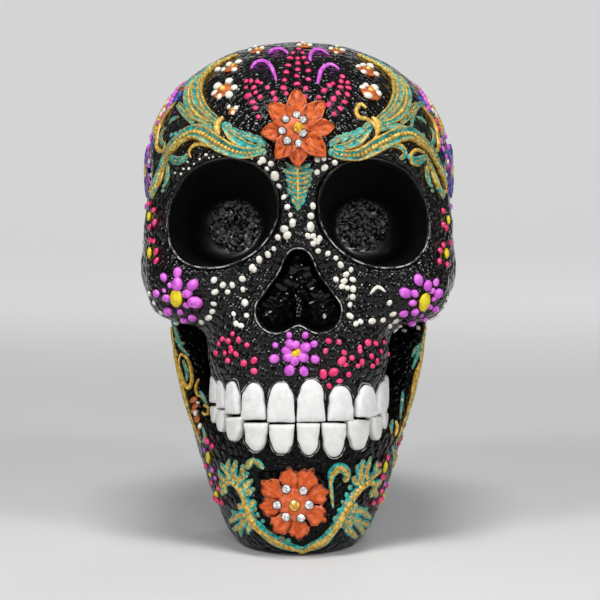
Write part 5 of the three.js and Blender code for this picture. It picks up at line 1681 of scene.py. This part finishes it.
# %% Cheek flowers
CHEEK_VIOLET = {
    "left": [(164, 277.4, 4), (177.6, 272.7, 4.5), (177.4, 284.4, 5), (170, 285.4, 2.5), (192.6, 285, 5),
             (187.2, 293.6, 4), (195, 302.2, 5.5), (186.4, 305.3, 3), (180.3, 312, 3), (168, 311.4, 5),
             (156.8, 293.6, 4), (164.3, 290.5, 2), (166.7, 298.2, 3.5), (192.3, 317.6, 4), (184, 320, 3.5)],
    "right": [(418.4, 279.8, 5), (435.7, 282.3, 3.5), (427.6, 285.6, 4), (405, 292.8, 5), (414.5, 293.6, 3.5),
              (437.8, 293.6, 4.5), (432.3, 291, 2.5), (412.8, 302.8, 3.5), (433.7, 299.2, 2.5), (415, 312, 4),
              (403.6, 313.5, 4), (430, 306.8, 2.5), (435.2, 309, 3.5), (421.4, 315.5, 2),
              (411.7, 322.7, 4), (425, 319, 3.5)],
}
CHEEK_EYE = {"left": (176.2, 298.2, 9, 6.5, 90), "right": (424.5, 302.2, 9.5, 6, 80)}


def toward(spots, eye, longer):
    """Teardrops that point at a flower's middle."""
    rows = []
    for x, y, radius in spots:
        angle = math.degrees(math.atan2(eye[1] - y, x - eye[0]))
        rows.append((x, y, radius * longer * 1.1, radius * 1.02, angle))
    return rows


for side in ("left", "right"):
    drops(f"cheek_petals_{side}", violet_paint, "violet_paint",
          toward(CHEEK_VIOLET[side], CHEEK_EYE[side], 1.18), 0.85, [f"cheek_flower_{side}"], seed=8)
    drops(f"cheek_eye_{side}", yellow_paint, "cream_paint", [CHEEK_EYE[side]], 0.5, seed=9)

# %% Temple flowers
TEMPLE_PINK = {
    "upper_left": [(149, 204, 3), (154, 210.4, 3), (155, 222.4, 3), (150, 227, 3)],
    "lower_left": [(150.7, 240.5, 3), (154.3, 241.5, 2.6), (156.5, 251.7, 3), (156.5, 261, 3)],
    "upper_right": [(443, 211, 3), (443, 224.7, 3), (446, 228, 3)],
    "lower_right": [(440, 250.7, 3), (443, 245, 3), (439.3, 261.4, 3), (447, 264.5, 3), (450, 243, 3)],
}
for place_name, spots in TEMPLE_PINK.items():
    drops(f"temple_petals_{place_name}", pink_paint, "pink_paint", spots, 0.85,
          [f"temple_flower_{place_name}"], seed=10)
drops("temple_eyes", yellow_paint, "cream_paint",
      [(149.2, 216.5, 5, 3, 90), (150, 252.8, 6.5, 3.8, 90), (448, 220, 5, 3.2, 90),
       (446, 253.4, 5.5, 3.8, 90)], 0.8)

# %% Lip flower and the drops beside it
LIP_VIOLET = [(290.2, 344.3, 4.6), (296, 345, 4.0), (286.5, 351, 4.2), (288.2, 356.8, 4.4),
              (294.6, 360.6, 4.2), (303.3, 357.2, 4.6), (305.2, 347.6, 4.8), (302, 352.4, 2.6),
              (274.3, 358.7, 4.2), (289.6, 370.2, 4.9), (303.9, 371.3, 4.2), (315.2, 359.3, 4),
              (313.9, 344.1, 3.6), (305.4, 335.4, 3), (289.1, 335.4, 2.8), (275.4, 345.2, 2.8)]
LIP_PINK = [
    (222.4, 339), (232.7, 334), (228.3, 341), (238.8, 340), (219, 344), (247, 345), (230.8, 347.7),
    (216, 353), (225, 353), (231, 351), (236, 354), (228, 360.7), (243.8, 363.3, 3.5), (254, 360.4, 3.5),
    (254, 371, 3.5), (339, 342), (328.6, 341), (368, 342.6, 4), (375.5, 343.6), (384, 342),
    (359.7, 347.7), (325.5, 351), (344, 352.6), (352, 358), (341.8, 360.7, 4.5), (345.4, 364.8),
    (360, 351), (371.4, 356.3), (381, 351.5), (362, 362), (358, 366), (372.4, 366), (377, 361.4),
    (323.3, 374.2, 4), (333.5, 372.2, 4), (348.8, 374.5), (339.6, 381), (329.3, 386), (388, 354),
]
drops("lip_petals", violet_paint, "violet_paint", toward(LIP_VIOLET, (295.6, 353), 1.06), 0.85,
      ["lip_flower"], seed=11)
drops("lip_eye", yellow_paint, "cream_paint", [(294.4, 353.8, 3.8), (297.6, 352.2, 3.2)], 1.1)
lip_spots = [spot if len(spot) == 3 else (*spot, 2.7) for spot in LIP_PINK]
drops("lip_drops", pink_paint, "pink_paint", lip_spots, 0.8, seed=12)

# %% [markdown]
# ## Edges of the jaw and the head
# The sides are seen on edge, so the picture shows only slices of their ornament: gold loops, teal strokes
# and drops in many colours. They are placed by what shows, and longer scrolls take over on the sides.

# %% Loops, flowers and drops on the edges of the jaw
JAW_GOLD = [
    (4.6, [(170.4, 327), (172, 333), (174.5, 347), (178, 356)]),
    (4.6, [(181, 354), (187, 358), (191, 369), (192, 380), (189, 388), (184, 382), (180.5, 371),
           (179, 360), (181, 354)]),
    (3.6, [(199, 379), (196, 387), (197.5, 395), (202, 397)]),
    (4.0, [(204, 405), (209, 409), (206, 415), (202, 412)]),
    (5.0, [(428, 327), (427, 340), (425, 353), (419, 364), (415, 376), (412, 390), (411.4, 398)]),
    (4.2, [(396, 421), (397, 428), (395, 436)]), (4.4, [(395, 450), (396.5, 459), (394, 468)]),
]
JAW_TEAL = [
    (5.0, [(173, 322), (177.5, 336), (181, 347), (189, 356)]), (4.6, [(175, 338), (180, 343), (187, 344)]),
    (4.0, [(183, 360), (186.5, 370), (187, 381)]), (4.4, [(200, 391), (204, 399), (207, 405)]),
    (4.6, [(203, 428), (205, 435), (203, 443)]), (5.0, [(424, 333), (421, 346), (417, 356), (412, 369)]),
    (4.4, [(421, 344), (415, 350), (412, 358)]), (3.6, [(403, 390), (402, 402), (401, 410), (400, 419)]),
    (4.4, [(392, 446), (394, 457), (391.5, 469), (390, 479)]), (4.2, [(393, 420), (391, 427), (392, 434)]),
]
JAW_RUST = [(194, 400, 4), (195.5, 406.5, 3.6), (193.5, 411, 3.2), (197.5, 419, 3.8), (199, 431.5, 3.2),
            (406, 418, 3.8), (404, 424.5, 3.6), (401.5, 438, 3.4), (378.6, 509, 2.6)]
JAW_WHITE = [(196, 413, 3), (200.5, 426, 2.8), (408, 409.5, 3), (403, 430.5, 3), (198, 403, 2.2),
             (401.6, 400, 2)]
JAW_PINK = [(207.5, 441, 3.4), (212.5, 446, 3.2), (206, 466, 2.8), (212, 482.5, 2.6), (218.7, 488.4, 3),
            (222.5, 502.5, 3.2), (399, 443.6, 2.6), (387.4, 457.6, 3), (379, 464.4, 3), (382.6, 477, 3.8),
            (387, 486, 2.6), (381, 491, 3), (373, 503, 3)]
JAW_VIOLET = [(212.6, 470, 3), (204.5, 450, 2.4), (384, 484, 2.4), (215.5, 478, 2.2)]
JAW_YELLOW = [(208.7, 457.5, 7.5, 3.4, 90), (217, 494, 5, 3.4, 90), (210.5, 474.5, 3, 2.4, 90),
              (384.8, 467, 6.5, 3.2, 80), (382.6, 499, 7, 3.6, 75)]
bands("jaw_loops", round_section, gold_paint, "teal_gold", picture_runs(JAW_GOLD, start=0.7, end=0.4))
bands("jaw_strokes", leaf_section, leaf_paint, "teal_gold", picture_runs(JAW_TEAL, start=0.6, end=0.3))
drops("jaw_blossoms", rust_paint, "orange_paint", JAW_RUST, 0.6, seed=16)
drops("jaw_white_drops", cream_paint, "cream_paint", JAW_WHITE, 0.9, seed=17)
drops("jaw_pink_drops", pink_paint, "pink_paint", JAW_PINK, 0.85, seed=13)
drops("jaw_violet_drops", violet_paint, "violet_paint", JAW_VIOLET, 0.85, seed=18)
drops("jaw_eyes", yellow_paint, "cream_paint", JAW_YELLOW, 0.8, ["jaw_daisy_left", "jaw_daisy_right"])

# %% Drops along the edges of the head
EDGE_VIOLET = [(146, 188), (148.5, 154), (151.5, 139), (158, 123), (443, 149), (445.5, 156), (447.5, 163),
               (449, 171), (450, 180), (441, 141)]
EDGE_BLUE = [(147, 168), (153.5, 144), (180, 95), (176, 100), (420, 99), (425, 105), (430, 111), (444, 152)]
EDGE_PINK = [(149, 160), (185, 89), (163, 116), (436, 121), (439, 129), (448, 167), (146.5, 178)]
EDGE_RUST = [(145.5, 181), (146.5, 162), (168.5, 105), (450.5, 188), (442, 135)]
for colour, paint, slot, spots in (("violet", violet_paint, "violet_paint", EDGE_VIOLET),
                                   ("blue", blue_paint, "blue_paint", EDGE_BLUE),
                                   ("pink", pink_paint, "pink_paint", EDGE_PINK),
                                   ("rust", rust_paint, "orange_paint", EDGE_RUST)):
    drops(f"edge_{colour}_drops", paint, slot, [(*spot, 3.6) for spot in spots], 0.6, seed=19)

# %% Small cream drops over the eyes: painted glints
TINY_GLINT_SPOTS = [(175, 173), (183.7, 169), (187.7, 162), (189, 168.7), (199.7, 159.3), (206, 154.7),
              (209, 158), (213, 157), (219.7, 157.3), (181, 174), (194, 164), (240, 156.5), (246, 157),
              (252, 158.5), (349, 156.5), (356, 156)]
drops("tiny_cream_drops", cream_paint, "cream_paint", [(*spot, 1.25) for spot in TINY_GLINT_SPOTS], 0.7,
      seed=20, unevenness=0.3)

# %% [markdown]
# ## Sides and back
# The picture shows only how the ornament goes on round the edges of the head. The sides and the back repeat
# its motifs: large flowers, leaf scrolls with beads, and rows of drops. These paths are places on the head
# in millimetres, pressed onto the form before they are swept.

# %% Scrolls on the jaw, the sides and the back
EYE_HEIGHT = 120.5
BRAINCASE_SIDE = 58.0
JAW_PATHS = [[(46, -2, 77), (45.5, -10, 68), (43, -20, 58), (39, -30, 47), (35, -38, 37)],
             [(44.5, -13, 64), (44, -3, 62), (43, 4, 56), (42, 2, 48)],
             [(40, -27, 50), (39.5, -16, 46), (38.5, -7, 40), (36.5, -9, 32)]]
SIDE_PATHS = [[(5, -14, 26), (2, 0, 31), (4, 16, 35), (10, 32, 35), (16, 44, 28)],
              [(3, -4, 30), (3, 2, 38), (8, 4, 44), (12, -2, 48)],
              [(7, 26, 35.5), (12, 34, 42), (20, 36, 47)],
              [(14, 40, 31), (10, 42, 20), (6, 34, 10), (3, 26, 6)]]
BACK_PATHS = [[(8, 73, -14), (20, 70, -16), (32, 64, -10), (38, 59, 2), (34, 62, 13), (26, 67, 12)],
              [(24, 68.5, -14), (34, 60, -22), (42, 50, -22)], [(37, 60, 6), (44, 50, 14), (42, 48, 24)]]


def head_runs(paths, turn, width, bead):
    return [(head_path([(turn * x, y, z) for x, y, z in path]), width, bead, 0.5, 0.15) for path in paths]


side_places = [[(BRAINCASE_SIDE - inset, y, EYE_HEIGHT + up) for inset, y, up in path] for path in SIDE_PATHS]
back_places = [[(x, y, EYE_HEIGHT + up) for x, y, up in path] for path in BACK_PATHS]
for side, turn in (("left", -1), ("right", 1)):
    for name, paths, width, bead in (("jaw", JAW_PATHS, 3.4, 0.0), ("side", side_places, 4.2, 0.85),
                                     ("back", back_places, 4.2, 0.85)):
        bands(f"{name}_rims_{side}", rimmed_section, rim_paint, "teal_gold",
              head_runs(paths, turn, width, bead), [f"{name}_scroll_{side}"], gold_paint)

# %% Flowers on the sides and the back
def head_petals(name, paint, slot, centre, radius, count, half_width, nodes, seed=1, offset=0.5):
    """Petals around a place on the head, pressed onto the form."""
    centre = settle([centre])
    out = outward(skin_form, centre)[0]
    first = unit(np.cross(out, (0.0, 0.0, 1.0)))
    second = np.cross(out, first)
    angles = 2 * np.pi * (np.arange(count) + offset) / count
    ways = np.cos(angles)[:, None] * first + np.sin(angles)[:, None] * second
    feet = settle(centre + ways * radius * 0.15)
    ends = settle(centre + ways * radius)
    facing = 0.5 * outward(skin_form, feet) + 0.5 * out
    span = ends - feet
    facing = unit(facing - span * (np.sum(facing * span, axis=1) / np.sum(span * span, axis=1))[:, None])
    extent = np.array([(length, half_width, 0.45) for length in np.linalg.norm(span, axis=1)])
    lift = np.where(np.arange(count) % 2, 0.7, 0.4)[:, None]
    return set_shapes(name, pointed_petal, paint, slot, feet + facing * lift, facing, span, extent, 0.05,
                      seed, nodes)


blue_petals = petal_paint("blue_petal_paint", (0.035, 0.12, 0.42), (0.02, 0.06, 0.28),
                          (0.012, 0.03, 0.12), 0.75)
violet_petals = petal_paint("violet_petal_paint", (0.5, 0.1, 0.5), (0.32, 0.05, 0.34), (0.08, 0.015, 0.1),
                            0.75)
BACK_CENTRE = (0, 75, 124.5)
SIDE_CENTRE = (58, 10, 132.5)
for side, turn in (("left", -1), ("right", 1)):
    centre = (turn * SIDE_CENTRE[0], *SIDE_CENTRE[1:])
    head_petals(f"side_petals_{side}", blue_petals, "blue_paint", centre, 11.5, 4, 4.6,
                [f"side_flower_{side}"], offset=0.25)
    head_petals(f"side_violet_petals_{side}", violet_petals, "violet_paint", centre, 11, 4, 4.2, [],
                offset=0.75)
    head_drops(f"side_eye_{side}", yellow_paint, "cream_paint", [centre], 3.6, 0.45)
head_petals("back_petals", orange_petals, "orange_paint", BACK_CENTRE, 13, 8, 4.8, ["back_flower"])
head_drops("back_eye", yellow_paint, "cream_paint", [BACK_CENTRE], 3.8, 0.9)

# %% [markdown]
# Rings of drops round the flowers, rows of drops and small daisies fill the ground between the scrolls. A
# ring is a flat circle pressed onto the head, and a row is a smooth path cut into even steps, so the drops
# keep their distance on the curved form.

# %% Rings, rows and daisies round the head
def ring(centre, radius, count, first=0.0, last=360.0):
    """Places on a circle that is pressed onto the head."""
    centre = settle([centre])[0]
    out = outward(skin_form, centre[None])[0]
    side = unit(np.cross(out, (0.0, 0.6, 0.8) if abs(out[2]) < 0.8 else (0.0, 1.0, 0.0)))
    up = np.cross(side, out)
    angles = np.radians(np.linspace(first, last, count, endpoint=False))
    return settle(centre + radius * (np.cos(angles)[:, None] * side + np.sin(angles)[:, None] * up))


def both_halves(points):
    points = np.asarray(points, float)
    return np.vstack([points, points * (-1, 1, 1)])


HEAD_DAISIES = [(55, 32, 106), (46, 50, 110), (56, 14, 100), (38, 20, 174), (28, 42, 172), (20, 66, 152),
                (18, 68, 92), (44, 8, 46), (41, -6, 22), (52, -6, 158)]
PINK_ROWS = [[(11, 18, 181), (14, 28, 179), (15, 38, 176), (14, 48, 171)],
             [(52, -22, 118), (55, -10, 112), (57, 2, 112), (57, 12, 114)],
             [(12, 68, 84), (26, 60, 80), (40, 46, 80)],
             [(34, -40, 14), (37, -26, 12), (38, -12, 10), (37, 2, 8)],
             [(8, 62, 165), (14, 64, 160), (22, 58, 162), (30, 52, 162)]]
CREAM_ROWS = [[(24, 16, 179), (25, 26, 177), (25, 36, 174), (22, 48, 168)],
              [(50, -24, 108), (54, -10, 101), (56, 2, 98)], [(56, 26, 96), (52, 40, 96), (44, 52, 98)],
              [(45, 12, 66), (43, 15, 52), (40, 15, 36), (37, 14, 18)],
              [(30, 62, 140), (36, 56, 150), (38, 48, 158), (36, 38, 166)]]
VIOLET_ROWS = [[(50, -18, 158), (50, -6, 164), (48, 6, 168), (44, 18, 170)],
               [(10, 72, 146), (20, 67, 142), (28, 62, 138)], [(46, -6, 54), (44, 2, 40), (42, 4, 30)],
               [(54, 40, 120), (50, 48, 122), (44, 56, 120)]]


def row_places(paths, gap):
    return both_halves(np.vstack([head_path(path, gap) for path in paths]))


print("rows on each half:", len(PINK_ROWS) + len(CREAM_ROWS) + len(VIOLET_ROWS))

# %% Setting the rings, rows and daisies out
PARTING = [(0, 16, 183), (0, 30, 181), (0, 42, 177), (0, 54, 170)]
daisy_centres = both_halves(HEAD_DAISIES)
daisy_leaves = np.vstack([ring(centre, 2.75, 6) for centre in daisy_centres])
head_drops("head_daisy_beds", rust_paint, "orange_paint", daisy_centres, 3.3, 0.2)
head_drops("head_daisy_petals", cream_paint, "cream_paint", daisy_leaves, 1.25, 0.8)
head_drops("head_daisy_eyes", gold_paint, "orange_paint", daisy_centres, 1.3, 1.0)
rings = both_halves(ring(SIDE_CENTRE, 15.6, 14))
head_drops("head_violet_drops", violet_paint, "violet_paint",
           np.vstack([rings, ring(BACK_CENTRE, 16.6, 16), row_places(VIOLET_ROWS, 4.2)]), 1.35, 0.85, seed=2)
head_drops("head_pink_drops", pink_paint, "pink_paint",
           np.vstack([row_places(PINK_ROWS, 4.0), head_path(PARTING, 4.2)]), 1.25, 0.85, seed=3)
head_drops("head_cream_drops", cream_paint, "cream_paint",
           np.vstack([row_places(CREAM_ROWS, 3.8), both_halves(ring(SIDE_CENTRE, 19.5, 11, 190, 350))]),
           1.05, 0.8, seed=4)
print("daisies on the sides and the back:", len(daisy_centres))

# %% [markdown]
# ## Stage, light and view
# The figurine stands on a pale sweep that curves up behind it, so no horizon shows. Large soft lamps stand
# around it as in a product studio. The sweep mixes its own lit paint with an even glow for the camera, and
# so stays pale all over while it keeps the soft shadow under the jaw. One lamp stands behind for the other
# views. It gives no glints, because they would show as white specks on the crown.

# %% Sweep
def studio_sweep():
    profile = [(-0.42, 0.0), (1.5, 0.0)]
    profile += [(1.5 + 0.5 * math.sin(a), 0.5 - 0.5 * math.cos(a)) for a in np.linspace(0.1, math.pi / 2, 12)]
    profile.append((2.0, 0.9))
    points = [(x, y, z) for x in (-0.6, 0.6) for y, z in profile]
    count = len(profile)
    faces = [(i, i + count, i + count + 1, i + 1) for i in range(count - 1)]
    sweep = place("studio_sweep", plain_mesh("studio_sweep", np.array(points) / MM, faces))
    paper = Finish("sweep_paper", 0.9)
    height = paper.node("ShaderNodeSeparateXYZ")
    paper.feed(height.inputs["Vector"], paper.where)
    depth = paper.ramp(height.outputs["Y"], -0.4, 2.0)
    fibre = paper.math("ADD", depth, paper.times(paper.noise(40.0), 0.1))
    paper.colour(paper.mix(fibre, (0.655, 0.655, 0.66), (0.89, 0.89, 0.895)))
    glow = paper.node("ShaderNodeEmission")
    paper.feed(glow.inputs["Color"], paper.mix(depth, (0.75, 0.75, 0.755), (0.76, 0.76, 0.765)))
    rays = paper.node("ShaderNodeLightPath")
    seen = paper.math("MAXIMUM", rays.outputs["Is Camera Ray"], rays.outputs["Is Glossy Ray"])
    seen = paper.math("MAXIMUM", seen, rays.outputs["Is Transmission Ray"])
    both = paper.node("ShaderNodeMixShader")
    paper.feed(both.inputs[0], paper.times(seen, paper.ramp(depth, 0.12, 0.62, 0.0, 0.8)))
    paper.feed(both.inputs[1], paper.shader.outputs[0])
    paper.feed(both.inputs[2], glow.outputs[0])
    paper.feed(paper.tree.nodes["Material Output"].inputs["Surface"], both.outputs[0])
    sweep.data.materials.append(paper.material)
    print(sweep.name, len(faces), "faces")


studio_sweep()

# %% Lamps and room
LAMP_AIM = (0.0, 0.0, 0.1)


def soft_lamp(name, place_m, size_m, watts):
    data = bpy.data.lights.new(name, "AREA")
    data.shape = "RECTANGLE"
    data.size, data.size_y = size_m
    data.energy = watts
    lamp = bpy.data.objects.new(name, data)
    scene.collection.objects.link(lamp)
    way = np.array(LAMP_AIM) - np.array(place_m)
    lamp.location = place_m
    lamp.rotation_euler = (math.acos(-way[2] / np.linalg.norm(way)), 0.0,
                           math.atan2(way[1], way[0]) - math.pi / 2)
    return lamp


soft_lamp("left_lamp", (-0.55, -0.75, 0.85), (0.3, 0.3), 4.7)
soft_lamp("right_lamp", (0.58, -0.73, 0.8), (0.3, 0.3), 3.9)
soft_lamp("left_low_lamp", (-0.85, -0.75, 0.3), (0.2, 0.26), 1.2)
soft_lamp("right_low_lamp", (0.85, -0.75, 0.3), (0.2, 0.26), 1.0)
soft_lamp("top_lamp", (0.0, -0.3, 0.95), (0.3, 0.24), 4.2)
soft_lamp("front_lamp", (0.08, -1.3, 0.55), (0.24, 0.24), 2.7)
rear_lamp = soft_lamp("rear_lamp", (0.35, 1.1, 0.75), (0.3, 0.3), 2.6)
rear_lamp.visible_glossy = False
world = bpy.data.worlds.new("studio_room")
world.use_nodes = True
world.node_tree.nodes["Background"].inputs["Color"].default_value = (0.5, 0.5, 0.51, 1.0)
world.node_tree.nodes["Background"].inputs["Strength"].default_value = 0.2
scene.world = world
scene.view_settings.view_transform = "Standard"
print("lamps:", len(bpy.data.lights))

# %% [markdown]
# ## Clearing away the shapes
# The shapes that the trees set out are deleted, because their copies are plain meshes by now.

# %% Deleting the shapes
for shape in templates:
    bpy.data.objects.remove(shape)
